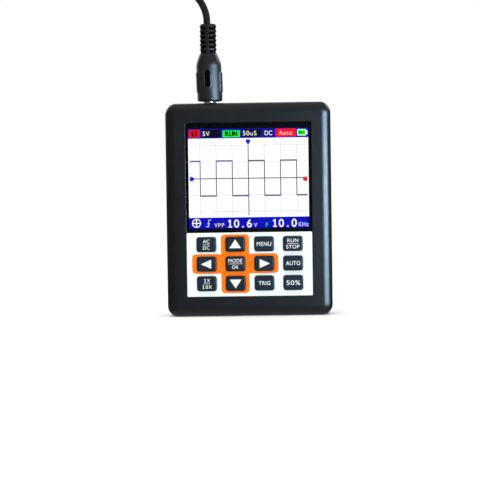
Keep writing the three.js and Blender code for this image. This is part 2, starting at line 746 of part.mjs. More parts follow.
export default oscilloscope;
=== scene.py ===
"""Handheld oscilloscope: the looks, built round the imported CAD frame.

Metres, in the frame's axes: x to the reader's right, z up, and the screen faces -y.
Sizes that the frame doesn't hold, such as edge radii and lettering, are millimetres times MM.
"""
import math

import bmesh
import bpy
from mathutils import Matrix, Vector


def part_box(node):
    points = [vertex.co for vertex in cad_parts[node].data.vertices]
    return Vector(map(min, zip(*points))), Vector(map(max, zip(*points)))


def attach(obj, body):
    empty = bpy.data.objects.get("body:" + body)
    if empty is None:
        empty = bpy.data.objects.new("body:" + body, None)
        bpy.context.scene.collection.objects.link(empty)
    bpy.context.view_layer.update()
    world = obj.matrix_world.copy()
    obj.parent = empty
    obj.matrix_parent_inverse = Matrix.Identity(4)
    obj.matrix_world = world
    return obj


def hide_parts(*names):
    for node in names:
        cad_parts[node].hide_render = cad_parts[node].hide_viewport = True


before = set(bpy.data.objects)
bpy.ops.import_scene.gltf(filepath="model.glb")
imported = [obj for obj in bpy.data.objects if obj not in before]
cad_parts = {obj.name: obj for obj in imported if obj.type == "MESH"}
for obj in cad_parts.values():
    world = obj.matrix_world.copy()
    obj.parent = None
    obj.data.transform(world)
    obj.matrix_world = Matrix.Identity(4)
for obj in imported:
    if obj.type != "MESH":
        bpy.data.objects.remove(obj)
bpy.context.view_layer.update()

MM = 0.001

# ---- Places and sizes taken from the frame ----

FRONT_LOW, FRONT_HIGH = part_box("front_case")
WINDOW_LOW, WINDOW_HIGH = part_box("screen_window")
SHEET_LOW, SHEET_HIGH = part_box("keypad_sheet")
PANEL_LOW, PANEL_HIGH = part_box("display_panel")
JACK_LOW, JACK_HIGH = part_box("input_jack")
PLUG_LOW, PLUG_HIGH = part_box("plug_barrel")
CONTACT_LOW, CONTACT_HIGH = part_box("plug_contact")
LEAD_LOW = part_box("probe_cable")[0]

CASE_WIDTH = FRONT_HIGH.x - FRONT_LOW.x
CASE_HEIGHT = FRONT_HIGH.z - FRONT_LOW.z
CASE_MIDDLE = (0, CASE_HEIGHT / 2)
FRONT_Y = FRONT_LOW.y
BACK_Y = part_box("rear_case")[1].y
PARTING_GAP = 0.05 * MM  # half the gap between the two shells
PARTING_Y = FRONT_HIGH.y + PARTING_GAP
CORNER = 4.5 * MM
EDGE = 4 * MM
WALL = 2 * MM
FRONT_WALL = 2.6 * MM
SHEET_WIDTH = SHEET_HIGH.x - SHEET_LOW.x
RECESS = {"depth": 1 * MM, "gap": 0.15 * MM, "corner": 0.5 * MM}
LABEL = {"width": 44 * MM, "height": 36 * MM, "corner": 1.5 * MM, "depth": 0.3 * MM}

# The lit part of the display, seen through the window.
LIT_WIDTH = 50.1 * MM
LIT_LOW = 36.65 * MM
LIT_HIGH = 78.15 * MM
LIT_HEIGHT = LIT_HIGH - LIT_LOW
LIT_MIDDLE = (0, (LIT_LOW + LIT_HIGH) / 2)

PLUG_AXIS = Vector(((CONTACT_LOW.x + CONTACT_HIGH.x) / 2, (CONTACT_LOW.y + CONTACT_HIGH.y) / 2, 0))
PLUG_TURN = math.radians(5)

KEY_NAMES = [
    ["ac_dc", "up", "menu", "run_stop"],
    ["left", "ok", "right", "auto"],
    ["attenuation", "down", "trigger", "half_level"],
]
ALL_KEYS = [name for row in KEY_NAMES for name in row]

# ---- Material building ----


class Nodes:
    """A node tree, with short calls to add nodes and join them up."""

    def __init__(self, tree):
        self.tree = tree

    def node(self, kind, inputs=None, **settings):
        made = self.tree.nodes.new(kind)
        for key, value in settings.items():
            setattr(made, key, value)
        for key, value in (inputs or {}).items():
            self.feed(made.inputs[key], value)
        return made

    def feed(self, socket, value):
        if isinstance(value, bpy.types.NodeSocket):
            self.tree.links.new(value, socket)
        else:
            socket.default_value = value

    def maths(self, operation, a, b=0.0):
        return self.node("ShaderNodeMath", {0: a, 1: b}, operation=operation).outputs[0]

    def ramp(self, value, low, high, out_low=0.0, out_high=1.0):
        """Maps low to out_low and high to out_high, and goes past neither."""
        inputs = {"Value": value, "From Min": low, "From Max": high, "To Min": out_low, "To Max": out_high}
        return self.node("ShaderNodeMapRange", inputs, clamp=True).outputs["Result"]

    def mixed(self, share, first, second):
        return self.node("ShaderNodeMixShader", {0: share, 1: first, 2: second}).outputs[0]


class Shader(Nodes):
    """The node tree of one material."""

    def __init__(self, name):
        self.material = bpy.data.materials.new(name)
        self.material.use_nodes = True
        super().__init__(self.material.node_tree)
        self.surface = self.tree.nodes["Principled BSDF"]
        self.output = self.tree.nodes["Material Output"].inputs["Surface"]

    def set(self, **values):
        """Sets the surface's inputs. An underscore stands for a space in an input's name."""
        for key, value in values.items():
            self.feed(self.surface.inputs[key.replace("_", " ")], value)

    def place(self):
        return self.node("ShaderNodeTexCoord").outputs["Object"]

    def along(self, axis):
        return self.node("ShaderNodeSeparateXYZ", {"Vector": self.place()}).outputs[axis]

    def stretched(self, stretch):
        mapping = self.node("ShaderNodeMapping", {"Vector": self.place(), "Scale": stretch})
        return mapping.outputs["Vector"]

    def stored(self, name, output):
        """A value that the mesh holds for each of its points or corners."""
        return self.node("ShaderNodeAttribute", attribute_name=name).outputs[output]

    def noise(self, feature, detail=2.0, where=None):
        """Noise whose blotches are about feature millimetres across."""
        inputs = {"Vector": where or self.place(), "Scale": 1 / (feature * MM), "Detail": detail}
        return self.node("ShaderNodeTexNoise", inputs).outputs["Fac"]

    def patches(self, feature, detail, low=0.3, high=0.7, out_low=0.0, out_high=1.0):
        """Noise with more contrast, from out_low to out_high."""
        return self.ramp(self.noise(feature, detail), low, high, out_low, out_high)

    def blend(self, share, first, second):
        mix = self.node("ShaderNodeMix", {0: share}, data_type="RGBA")
        for socket, colour in ((mix.inputs[6], first), (mix.inputs[7], second)):
            self.feed(socket, colour if isinstance(colour, bpy.types.NodeSocket) else (*colour, 1))
        return mix.outputs[2]

    def bump(self, height, depth, normal=None):
        """A surface that height raises by up to depth millimetres."""
        inputs = {"Height": height, "Distance": depth * MM, "Strength": 1.0}
        if normal is not None:
            inputs["Normal"] = normal
        return self.node("ShaderNodeBump", inputs).outputs["Normal"]

    def soft_edges(self, radius):
        """The surface's direction, as if its edges were rounded by radius millimetres."""
        return self.node("ShaderNodeBevel", {"Radius": radius * MM}, samples=4).outputs["Normal"]

    def edge_share(self, radius):
        """0 on open faces, rising to 1 along sharp edges."""
        true_normal = self.node("ShaderNodeNewGeometry").outputs["Normal"]
        inputs = {0: self.soft_edges(radius), 1: true_normal}
        dot = self.node("ShaderNodeVectorMath", inputs, operation="DOT_PRODUCT")
        return self.ramp(dot.outputs["Value"], 0.98, 0.8)


def scaled(colour, share):
    return [min(1, part * share) for part in colour]


def moulded(name, colour, roughness, grain=0.25, depth=0.006, edge_wear_and_sheen=(0.03, 0.031, 0.033)):
    """Moulded plastic: fine spark-eroded grain, uneven gloss, and slightly polished edges whose colour is
    lightened partly as wear and partly as a painted highlight.
    """
    shader = Shader(name)
    edge = 0.15
    tint = shader.blend(shader.patches(9, 3), scaled(colour, 0.9), scaled(colour, 1.12))
    # Edges are lightened towards the edge colour: partly wear, partly a painted highlight.
    worn = shader.maths("MULTIPLY", shader.edge_share(edge), shader.patches(1.2, 4, 0.35, 0.7, 0, 0.5))
    shader.set(Base_Color=shader.blend(worn, tint, edge_wear_and_sheen))
    uneven = shader.patches(3, 2, 0.25, 0.75, roughness - 0.025, roughness + 0.035)
    shader.set(Roughness=shader.maths("SUBTRACT", uneven, shader.maths("MULTIPLY", worn, 0.25)))
    shader.set(Normal=shader.bump(shader.noise(grain, 3), depth, shader.soft_edges(edge)))
    return shader


def case_plastic():
    shader = moulded("case_plastic", (0.0068, 0.0067, 0.0068), 0.325, depth=0.005)
    scratches = shader.noise(0.5, 2, shader.stretched((1, 1, 0.06)))
    shader.set(Specular_IOR_Level=shader.ramp(scratches, 0.4, 0.8, 0.48, 0.56))
    return shader.material


def key_rubber():
    shader = moulded("key_rubber", (0.0045, 0.0145, 0.028), 0.42, grain=0.18, depth=0.003)
    shader.set(Specular_IOR_Level=0.22, Sheen_Weight=0.04, Sheen_Roughness=0.4)
    return shader.material


def plug_rubber():
    """Soft black rubber, with painted shade (a darker colour) and less shine in its hollows, painted shade
    on its upward-facing shoulder, and dull on its boot.
    """
    base = (0.0125, 0.0125, 0.0128)
    shader = moulded("plug_rubber", base, 0.4, grain=0.3)
    hollow = shader.stored("hollow", "Fac")
    height = shader.along("Z")

    def from_height(start, end, out_low=0.0, out_high=1.0):
        """A ramp between two heights in millimetres above the plug's lower end."""
        return shader.ramp(height, PLUG_LOW.z + start * MM, PLUG_LOW.z + end * MM, out_low, out_high)

    # Painted shade: the colour is darkened between these heights, on the shoulder that faces up, in place of
    # less light falling on it from above.
    shoulder = shader.maths("MULTIPLY", from_height(14, 17), from_height(21.6, 20.6))
    shoulder_painted_shade = shader.blend(shoulder, base, scaled(base, 0.35))
    # Painted shade: the hollows are darkened towards black, as if shadowed.
    shader.set(Base_Color=shader.blend(hollow, shoulder_painted_shade, scaled(base, 0.15)))
    dulled = shader.ramp(hollow, 0, 1, 1, 0.06)
    shader.set(Specular_IOR_Level=shader.maths("MULTIPLY", from_height(19, 23, 0.58, 0.14), dulled))
    return shader.material


def cable_jacket():
    shader = moulded("cable_jacket", (0.0095, 0.0093, 0.0092), 0.55, grain=0.35, depth=0.01)
    shader.set(Specular_IOR_Level=0.1)
    return shader.material


def overlay_ink(name, colour):
    """Printed polyester: a faint orange-peel surface and slightly uneven ink."""
    shader = Shader(name)
    shader.set(Base_Color=shader.blend(shader.patches(6, 3), scaled(colour, 0.97), colour))
    shader.set(Roughness=shader.patches(2, 4, out_low=0.22, out_high=0.3), Specular_IOR_Level=0.2)
    peel = shader.noise(0.35, 2)
    shader.set(Normal=shader.bump(peel, 0.003, shader.soft_edges(0.1)))
    return shader.material


def label_film():
    """A blank matt sticker with a faint brushed pattern."""
    shader = Shader("label_film")
    brushed = shader.noise(0.4, 3, shader.stretched((0.04, 1, 1)))
    shader.set(Base_Color=shader.blend(brushed, (0.02, 0.021, 0.023), (0.027, 0.028, 0.03)))
    shader.set(Roughness=shader.ramp(brushed, 0.3, 0.7, 0.3, 0.42), Normal=shader.soft_edges(0.1))
    return shader.material


def legend_ink():
    shader = Shader("legend_ink")
    worn = shader.patches(0.5, 4, 0.35, 0.6)
    shader.set(Base_Color=shader.blend(worn, (0.8, 0.85, 0.86), (0.92, 0.95, 0.96)))
    shader.set(Roughness=shader.patches(0.2, 3, out_low=0.4, out_high=0.6))
    return shader.material


def border_ink():
    shader = Shader("border_ink")
    specks = shader.patches(0.4, 3, 0.4, 0.8)
    shader.set(Base_Color=shader.blend(specks, (0.0016, 0.0015, 0.0022), (0.003, 0.0028, 0.0036)))
    shader.set(Roughness=shader.patches(1.5, 3, out_low=0.28, out_high=0.4), Specular_IOR_Level=0.06)
    return shader.material


def window_clear():
    """A clear acrylic face: lets straight light through, and shines only as much as acrylic does."""
    shader = Shader("window_clear")
    shader.tree.nodes.remove(shader.surface)
    through = shader.node("ShaderNodeBsdfTransparent", {"Color": (0.985, 0.99, 0.99, 1)}).outputs[0]
    smears = shader.ramp(shader.noise(7, 5, shader.stretched((1, 1, 0.5))), 0.45, 0.75, 0.02, 0.09)
    shine = shader.node("ShaderNodeBsdfGlossy", {"Roughness": smears}).outputs[0]
    fresnel = shader.node("ShaderNodeFresnel", {"IOR": 1.45}).outputs[0]
    inside = shader.node("ShaderNodeNewGeometry").outputs["Backfacing"]
    share = shader.maths("MULTIPLY", fresnel, shader.maths("SUBTRACT", 1.0, inside))
    shader.feed(shader.output, shader.mixed(share, through, shine))
    return shader.material


def lit_pixels():
    """Backlit display: each piece's own colour, broken into a fine grid of pixels."""
    shader = Shader("lit_pixels")
    pitch = LIT_WIDTH / 320

    def lines(axis):
        across = shader.maths("FRACT", shader.maths("DIVIDE", shader.along(axis), pitch))
        off_middle = shader.maths("ABSOLUTE", shader.maths("SUBTRACT", across, 0.5))
        return shader.ramp(off_middle, 0.38, 0.46, 1, 0.9)

    grid = shader.maths("MULTIPLY", lines("X"), lines("Z"))
    backlight = shader.patches(30, 1, out_low=0.98, out_high=1.03)
    strength = shader.maths("MULTIPLY", shader.maths("MULTIPLY", grid, backlight), 1.13)
    shader.set(Base_Color=(0.004, 0.004, 0.004, 1), Roughness=0.3, Specular_IOR_Level=0.1)
    shader.set(Emission_Color=shader.stored("tint", "Color"), Emission_Strength=strength)
    return shader.material


def metal(name, colour, roughness, streak=(1, 1, 1), tarnish=0.25, shine=1.0):
    """Plated or rolled metal: streaks along one direction and patchy tarnish."""
    shader = Shader(name)
    streaks = shader.noise(0.4, 4, shader.stretched(streak))
    tarnished = shader.patches(2.5, 5, 0.4, 0.75, 0, tarnish)
    shader.set(Base_Color=shader.blend(tarnished, colour, scaled(colour, 0.55)), Metallic=shine)
    shader.set(Roughness=shader.ramp(streaks, 0.3, 0.7, roughness - 0.05, roughness + 0.1))
    shader.set(Normal=shader.bump(streaks, 0.004, shader.soft_edges(0.06)))
    return shader.material


def light_pipe():
    shader = Shader("light_pipe")
    shader.set(Base_Color=shader.blend(shader.noise(0.8), (0.7, 0.78, 0.74), (0.85, 0.9, 0.88)))
    shader.set(Roughness=0.22, Transmission_Weight=0.35, IOR=1.49)
    shader.set(Normal=shader.bump(shader.noise(0.3), 0.004))
    return shader.material


def solder_mask():
    """Green board: copper tracks show as slightly raised, lighter lines under the mask."""
    shader = Shader("solder_mask")
    lanes = shader.noise(2.2, 0, shader.stretched((1, 1, 0.12)))
    tracks = shader.ramp(shader.maths("PINGPONG", shader.maths("MULTIPLY", lanes, 14.0), 0.5), 0.3, 0.36)
    weave = shader.maths("PINGPONG", shader.maths("DIVIDE", shader.along("X"), 0.5 * MM), 0.5)
    shader.set(Base_Color=shader.blend(tracks, (0.006, 0.055, 0.02), (0.012, 0.11, 0.04)))
    shader.set(Roughness=shader.ramp(weave, 0, 0.5, 0.3, 0.38))
    shader.set(Normal=shader.bump(tracks, 0.02))
    return shader.material


def foil_pouch():
    shader = Shader("foil_pouch")
    crinkle = shader.noise(2.5, 6)
    shader.set(Base_Color=shader.blend(crinkle, (0.5, 0.5, 0.52), (0.66, 0.66, 0.68)), Metallic=0.9)
    shader.set(Roughness=shader.ramp(crinkle, 0.3, 0.7, 0.3, 0.5), Normal=shader.bump(crinkle, 0.15))
    return shader.material


def display_glass():
    shader = Shader("display_glass")
    haze = shader.patches(4, 3, out_low=0.08, out_high=0.14)
    shader.set(Base_Color=shader.blend(haze, (0.004, 0.004, 0.005), (0.02, 0.02, 0.024)), Roughness=haze)
    return shader.material


def braid():
    """Tinned copper wires crossing each other round the lead's core."""
    shader = Shader("braid")
    wires = shader.noise(0.18, 2, shader.stretched((1, 1, 0.4)))
    shader.set(Base_Color=shader.blend(wires, (0.35, 0.25, 0.18), (0.75, 0.68, 0.6)), Metallic=1.0)
    shader.set(Roughness=0.35, Normal=shader.bump(wires, 0.08))
    return shader.material


CASE_PLASTIC = case_plastic()
KEY_RUBBER = key_rubber()
PLUG_RUBBER = plug_rubber()
CABLE_JACKET = cable_jacket()
SHEET_WHITE = overlay_ink("sheet_white", (0.84, 0.94, 0.93))
SHEET_ORANGE = overlay_ink("sheet_orange", (0.97, 0.19, 0.0005))
LEGEND_INK = legend_ink()
WINDOW_CLEAR = window_clear()
BORDER_INK = border_ink()
LIT_PIXELS = lit_pixels()
NICKEL = metal("nickel", (0.9, 0.89, 0.86), 0.24, (1, 1, 6), tarnish=0.1, shine=0.5)
GOLD = metal("gold_plate", (0.83, 0.6, 0.25), 0.2)
STEEL = metal("steel", (0.55, 0.55, 0.55), 0.3, (1, 1, 0.2))
SCREW_STEEL = metal("screw_steel", (0.3, 0.3, 0.31), 0.32, tarnish=0.5)
DARK_PLASTIC = moulded("dark_plastic", (0.012, 0.012, 0.012), 0.5).material
SWITCH_PLASTIC = moulded("switch_plastic", (0.03, 0.03, 0.032), 0.45).material
TRAY_PLASTIC = moulded("tray_plastic", (0.6, 0.6, 0.58), 0.5, edge_wear_and_sheen=(0.7, 0.7, 0.7)).material
FLEX_FILM = moulded("flex_film", (0.42, 0.16, 0.03), 0.35, edge_wear_and_sheen=(0.5, 0.25, 0.08)).material
CORE_WHITE = moulded("core_white", (0.75, 0.72, 0.64), 0.45, edge_wear_and_sheen=(0.8, 0.78, 0.7)).material
LABEL_FILM = label_film()
LIGHT_PIPE = light_pipe()
SOLDER_MASK = solder_mask()
FOIL_POUCH = foil_pouch()
DISPLAY_GLASS = display_glass()
BRAID = braid()

# ---- Mesh building ----

FONT_CAPITAL = 0.682  # the built-in font's capitals, as a share of its size


def add_object(name, data):
    made = bpy.data.objects.new(name, data)
    bpy.context.scene.collection.objects.link(made)
    return made


def piece(name, mesh, material, body, replaces=(), sharp=32):
    """Turns a finished mesh into a piece that rides on a CAD body."""
    mesh.materials.clear()
    mesh.materials.append(material)
    mesh.shade_smooth()
    mesh.set_sharp_from_angle(angle=math.radians(sharp))
    made = add_object(name, mesh)
    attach(made, body)
    if replaces:
        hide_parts(*replaces)
    return made


def mesh_from(build):
    """A mesh filled in by build(bmesh), with its faces turned outwards."""
    work = bmesh.new()
    build(work)
    bmesh.ops.remove_doubles(work, verts=work.verts, dist=1e-7)
    bmesh.ops.recalc_face_normals(work, faces=work.faces)
    mesh = bpy.data.meshes.new("mesh")
    work.to_mesh(mesh)
    work.free()
    return mesh


def loft(rings):
    """Joins equal rings of points with quads, and closes both ends."""
    def build(work):
        rows = [[work.verts.new(point) for point in ring] for ring in rings]
        count = len(rows[0])
        for near, far in zip(rows, rows[1:]):
            for i in range(count):
                j = (i + 1) % count
                work.faces.new((near[i], near[j], far[j], far[i]))
        work.faces.new(rows[0])
        work.faces.new(reversed(rows[-1]))

    return mesh_from(build)


def merged(*meshes):
    work = bmesh.new()
    for mesh in meshes:
        work.from_mesh(mesh)
        bpy.data.meshes.remove(mesh)
    result = bpy.data.meshes.new("merged")
    work.to_mesh(result)
    work.free()
    return result


def spread(start, end, steps):
    """Evenly spaced numbers from start to end, both included."""
    return [start + (end - start) * i / steps for i in range(steps + 1)]


def quarter(steps):
    """Angles from 0 to a right angle."""
    return spread(0, math.pi / 2, steps)


def rounding(radius, steps):
    """Steps over a rounded edge, as (inset, drop below the top), from its side to its top."""
    return [(radius * (1 - math.cos(angle)), radius * (1 - math.sin(angle))) for angle in quarter(steps)]


def arc(x, z, radius, start, end, steps=6):
    """Points on an arc, from one angle to another in degrees."""
    angles = [math.radians(degrees) for degrees in spread(start, end, steps)]
    return [(x + radius * math.cos(angle), z + radius * math.sin(angle)) for angle in angles]


def rounded_rect(width, height, radius, steps=8, middle=(0, 0), grow=0.0):
    """Points round a rounded rectangle, anticlockwise from its lower right. It grows on every side."""
    points = []
    for side, rise, start in ((1, -1, -90), (1, 1, 0), (-1, 1, 90), (-1, -1, 180)):
        x = middle[0] + side * (width / 2 - radius)
        z = middle[1] + rise * (height / 2 - radius)
        points += arc(x, z, radius + grow, start, start + 90, steps)
    return points


def circle(radius, segments=48, middle=(0, 0)):
    turn = 2 * math.pi / segments
    angles = [i * turn for i in range(segments)]
    return [(middle[0] + radius * math.cos(angle), middle[1] + radius * math.sin(angle)) for angle in angles]


def facing(points, y):
    """Stands a flat outline up in the plane of the screen."""
    return [Vector((x, y, z)) for x, z in points]


def level(points, z):
    """Lays a flat outline down, parallel to the floor."""
    return [Vector((x, y, z)) for x, y in points]


def front_middle(low, high):
    """The middle of a box as the reader sees it: (x, z)."""
    return ((low.x + high.x) / 2, (low.z + high.z) / 2)


def top_middle(low, high):
    """The middle of a box seen from above: (x, y)."""
    return ((low.x + high.x) / 2, (low.y + high.y) / 2)


def prism(outline, lay, start, end):
    """A straight block between two flat ends. lay is facing or level."""
    return loft([lay(outline, start), lay(outline, end)])


def plate(width, height, corner, steps, middle, profile):
    """A plate that faces the reader, lofted through (inset, y) steps. Its corners keep their radius."""
    rings = []
    for inset, y in profile:
        outline = rounded_rect(width - 2 * inset, height - 2 * inset, corner, steps, middle)
        rings.append(facing(outline, y))
    return loft(rings)


def lathe_facing(profile, middle):
    """Turns a list of (radius, y) about an axis that faces the reader. It ends in flat caps."""
    return loft([facing(circle(radius, 40, middle), y) for radius, y in profile])


def lathe(profile, middle, segments):
    """Turns a list of (radius, z) about an upright axis through middle. It ends in flat caps."""
    return loft([level(circle(radius, segments, middle), z) for radius, z in profile])


def carve(mesh, *tools):
    """Cuts closed meshes out of a closed mesh."""
    body = add_object("carved", mesh)
    cutters = [add_object("cutter", tool) for tool in tools]
    for cutter in cutters:
        cut = body.modifiers.new("cut", "BOOLEAN")
        cut.operation = "DIFFERENCE"
        cut.solver = "EXACT"
        cut.object = cutter
    result = evaluated_mesh(body)
    for spare in [body, *cutters]:
        bpy.data.objects.remove(spare)
    return result


def evaluated_mesh(made):
    """The mesh of an object, as its modifiers or its curve shape it."""
    return bpy.data.meshes.new_from_object(made.evaluated_get(bpy.context.evaluated_depsgraph_get()))


def flat_shape(outlines, back_y, front_y, bevel=0.0):
    """A flat plate facing the reader: the first outline is its edge and the rest are holes."""
    curve = bpy.data.curves.new("outline", "CURVE")
    curve.dimensions = "2D"
    curve.fill_mode = "BOTH"
    curve.extrude = (back_y - front_y) / 2 - bevel
    curve.bevel_depth = bevel
    curve.bevel_resolution = 2
    curve.offset = -bevel
    for outline in outlines:
        spline = curve.splines.new("POLY")
        spline.points.add(len(outline) - 1)
        for point, (x, z) in zip(spline.points, outline):
            point.co = (x, z, 0, 1)
        spline.use_cyclic_u = True
    return stand_up(curve, (back_y + front_y) / 2)


def stand_up(curve, y):
    """The mesh of a flat curve, turned to face the reader at depth y."""
    spare = add_object("spare", curve)
    mesh = evaluated_mesh(spare)
    bpy.data.objects.remove(spare)
    mesh.transform(Matrix.Translation((0, y, 0)) @ Matrix.Rotation(math.radians(90), 4, "X"))
    return mesh


def figure_one(thickness, bold):
    """A figure one with a flag and a foot, which the built-in font's doesn't have. It is 1 tall."""
    stem = 0.075 + bold
    flag, flag_low, flag_high, flag_root = 0.26, 0.7, 0.84, 0.82
    foot, foot_top = 0.25, 0.13
    outline = [(-foot, 0), (foot, 0), (foot, foot_top), (stem, foot_top), (stem, 1), (-stem, 1)]
    outline += [(-flag, flag_high), (-flag, flag_low), (-stem, flag_root)]
    outline += [(-stem, foot_top), (-foot, foot_top)]
    return flat_shape([outline], thickness / 2, -thickness / 2)


def glyphs(text, thickness, bold):
    """Letters one unit tall in capitals, standing on z = 0 and centred on x = 0, facing the reader."""
    if text == "1":
        return figure_one(thickness, bold)
    curve = bpy.data.curves.new("text", "FONT")
    curve.space_character = 1.08
    curve.body = text
    curve.extrude = 1.0
    curve.offset = bold
    mesh = stand_up(curve, 0)
    across = [v.co.x for v in mesh.vertices]
    middle = (min(across) + max(across)) / 2
    size = 1 / FONT_CAPITAL
    scale = Matrix.Diagonal((size, thickness / 2, size, 1))
    mesh.transform(scale @ Matrix.Translation((-middle, 0, 0)))
    return mesh


def width_of(mesh):
    across = [v.co.x for v in mesh.vertices]
    return max(across) - min(across)


def lettering(text, middle, height, width, y, thickness):
    """Flat letters of a given capital height and overall width, centred on (x, z)."""
    mesh = glyphs(text, thickness, 0)
    scale = Matrix.Diagonal((width / width_of(mesh), 1, height, 1))
    mesh.transform(Matrix.Translation((middle[0], y, middle[1] - height / 2)) @ scale)
    return mesh


def even_lettering(text, left, right, low, high, y, thickness, bold=0.0):
    """Letters in equal cells, as on a character display."""
    cell = (right - left) / len(text)
    height = high - low
    letters = []
    for i, letter in enumerate(text):
        mesh = glyphs(letter, thickness, bold)
        squeeze = min(1, 0.9 * cell / (width_of(mesh) * height))
        place = Matrix.Translation((left + (i + 0.5) * cell, y, low))
        mesh.transform(place @ Matrix.Diagonal((height * squeeze, 1, height, 1)))
        letters.append(mesh)
    return merged(*letters)


# ---- Case ----

CASE_STEPS = 12  # points round a corner of the case
CHAMFER = {"inset": 0.22 * MM, "height": 0.2 * MM}  # where the shells meet
FLAT_EDGE = 0.3 * MM  # a flat band just inside the rounded edge, so that it shades cleanly
LIP = 0.08 * MM  # rounding of the edge round a recess
CUT_PAST = 1 * MM  # how far cutting tools reach past what they cut
SCREEN_GAP = 0.4 * MM  # clearance of the front shell's opening round the lit display
SCREW = {"head": 1.5 * MM, "rim": 0.6 * MM, "clearance": 0.2 * MM, "well_chamfer": 0.25 * MM}
SCREW_SHANK = {"tip": 0.6 * MM, "radius": 1.1 * MM, "taper": 1.2 * MM, "neck": 1.15 * MM}
SCREW_CROSS = {"long": 2.1 * MM, "wide": 0.5 * MM, "deep": 0.8 * MM, "corner": 0.1 * MM}
LIGHT_HOLE = 1.15 * MM
SLIDER_TRAVEL = 2 * MM
SWITCH_SLOT = {"width": 2.8 * MM, "depth": 2 * MM, "corner": 0.15 * MM}
SCOOP = {"width": 8.4 * MM, "depth": 3.2 * MM, "corner": 1.55 * MM}


def case_ring(inset, y):
    smallest = 0.5 * MM
    radius = max(CORNER - inset, smallest)
    outline = rounded_rect(CASE_WIDTH - 2 * inset, CASE_HEIGHT - 2 * inset, radius, CASE_STEPS, CASE_MIDDLE)
    return facing(outline, y)


def shell_outside(end_y):
    """Rings from the parting line, with its small chamfer, to the flat at end_y."""
    out = 1 if end_y > PARTING_Y else -1
    start = PARTING_Y + out * PARTING_GAP
    rings = [case_ring(CHAMFER["inset"], start), case_ring(0, start + out * CHAMFER["height"])]
    rings += [case_ring(inset, end_y - out * drop) for inset, drop in rounding(EDGE, 14)]
    rings.append(case_ring(EDGE + FLAT_EDGE, end_y))
    return rings


def shell_inside(end_y, wall):
    """Rings from the inner floor back out to the parting line."""
    out = 1 if end_y > PARTING_Y else -1
    floor = end_y - out * wall
    inner = EDGE - WALL
    return [
        case_ring(WALL + inner, floor),
        case_ring(WALL + inner * 0.3, floor - out * inner * 0.3),
        case_ring(WALL, floor - out * inner),
        case_ring(WALL, PARTING_Y + out * PARTING_GAP),
    ]


def step_down(width, height, radius, middle, top_y, bottom_y):
    """Rings from a flat at top_y, over a rounded lip, down into a recess."""
    into = 1 if bottom_y > top_y else -1
    steps = [(LIP + 0.2 * MM, top_y)]
    steps += [(grow, top_y + into * sink) for sink, grow in rounding(LIP, 3)]
    steps.append((0, bottom_y))
    return [facing(rounded_rect(width, height, radius, CASE_STEPS, middle, grow), y) for grow, y in steps]


def front_shell():
    sheet_height = WINDOW_HIGH.z - SHEET_LOW.z
    middle = (0, (WINDOW_HIGH.z + SHEET_LOW.z) / 2)
    gap = 2 * RECESS["gap"]
    floor = FRONT_Y + RECESS["depth"]
    rim = step_down(SHEET_WIDTH + gap, sheet_height + gap, RECESS["corner"], middle, FRONT_Y, floor)
    body = loft(shell_inside(FRONT_Y, FRONT_WALL) + shell_outside(FRONT_Y) + rim)
    openings = [key_outline(name, KEY["shell_gap"]) for name in ALL_KEYS]
    openings.append(rounded_rect(LIT_WIDTH, LIT_HEIGHT, 0.1 * MM, 4, LIT_MIDDLE, SCREEN_GAP))
    deep = FRONT_Y + FRONT_WALL + CUT_PAST
    tools = [prism(outline, facing, FRONT_Y, deep) for outline in openings]
    made = piece("front_shell", carve(body, *tools), CASE_PLASTIC, "case", ["front_case"])
    even_normals(made)


def even_normals(made):
    weighted = made.modifiers.new("normals", "WEIGHTED_NORMAL")
    weighted.keep_sharp = True


def rear_shell():
    floor = BACK_Y - LABEL["depth"]
    rim = step_down(LABEL["width"], LABEL["height"], LABEL["corner"], CASE_MIDDLE, BACK_Y, floor)
    body = loft(shell_inside(BACK_Y, WALL) + shell_outside(BACK_Y) + rim)
    mesh = carve(body, *screw_wells(), *top_openings())
    made = piece("rear_shell", mesh, CASE_PLASTIC, "case", ["rear_case"])
    even_normals(made)


def screw_nodes():
    return sorted(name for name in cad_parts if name.startswith("case_screw_"))


def screw_wells():
    wells = []
    for name in screw_nodes():
        low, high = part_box(name)
        radius = (high.x - low.x) / 2 + SCREW["clearance"]
        chamfer = SCREW["well_chamfer"]
        profile = [(radius, high.y - SCREW["head"]), (radius, BACK_Y - chamfer)]
        profile += [(radius + chamfer, BACK_Y), (radius + chamfer, BACK_Y + CUT_PAST)]
        wells.append(lathe_facing(profile, front_middle(low, high)))
    return wells


def case_screws():
    for name in screw_nodes():
        mesh = screw_mesh(*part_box(name))
        piece(name.replace("case_screw", "screw"), mesh, SCREW_STEEL, "case", [name])


def screw_mesh(low, high):
    """A pointed shank and a domed head with a cross recess."""
    middle = front_middle(low, high)
    radius = (high.x - low.x) / 2
    shank = SCREW_SHANK
    seat = high.y - SCREW["head"]
    rim = seat + SCREW["rim"]
    profile = [(shank["tip"], low.y), (shank["radius"], low.y + shank["taper"]), (shank["neck"], seat)]
    profile += [(radius * 0.95, seat), (radius, seat + 0.1 * MM), (radius, rim)]
    for angle in quarter(6)[1:]:
        profile.append((radius * (0.35 + 0.65 * math.cos(angle)), rim + (high.y - rim) * math.sin(angle)))
    body = lathe_facing(profile, middle)
    cross = SCREW_CROSS
    tools = []
    for width, height in ((cross["long"], cross["wide"]), (cross["wide"], cross["long"])):
        floor = rounded_rect(width * 0.75, height * 0.75, cross["corner"], 2, middle)
        mouth = rounded_rect(width, height, cross["corner"], 2, middle)
        tools.append(loft([facing(floor, high.y - cross["deep"]), facing(mouth, high.y + 0.1 * MM)]))
    return carve(body, *tools)


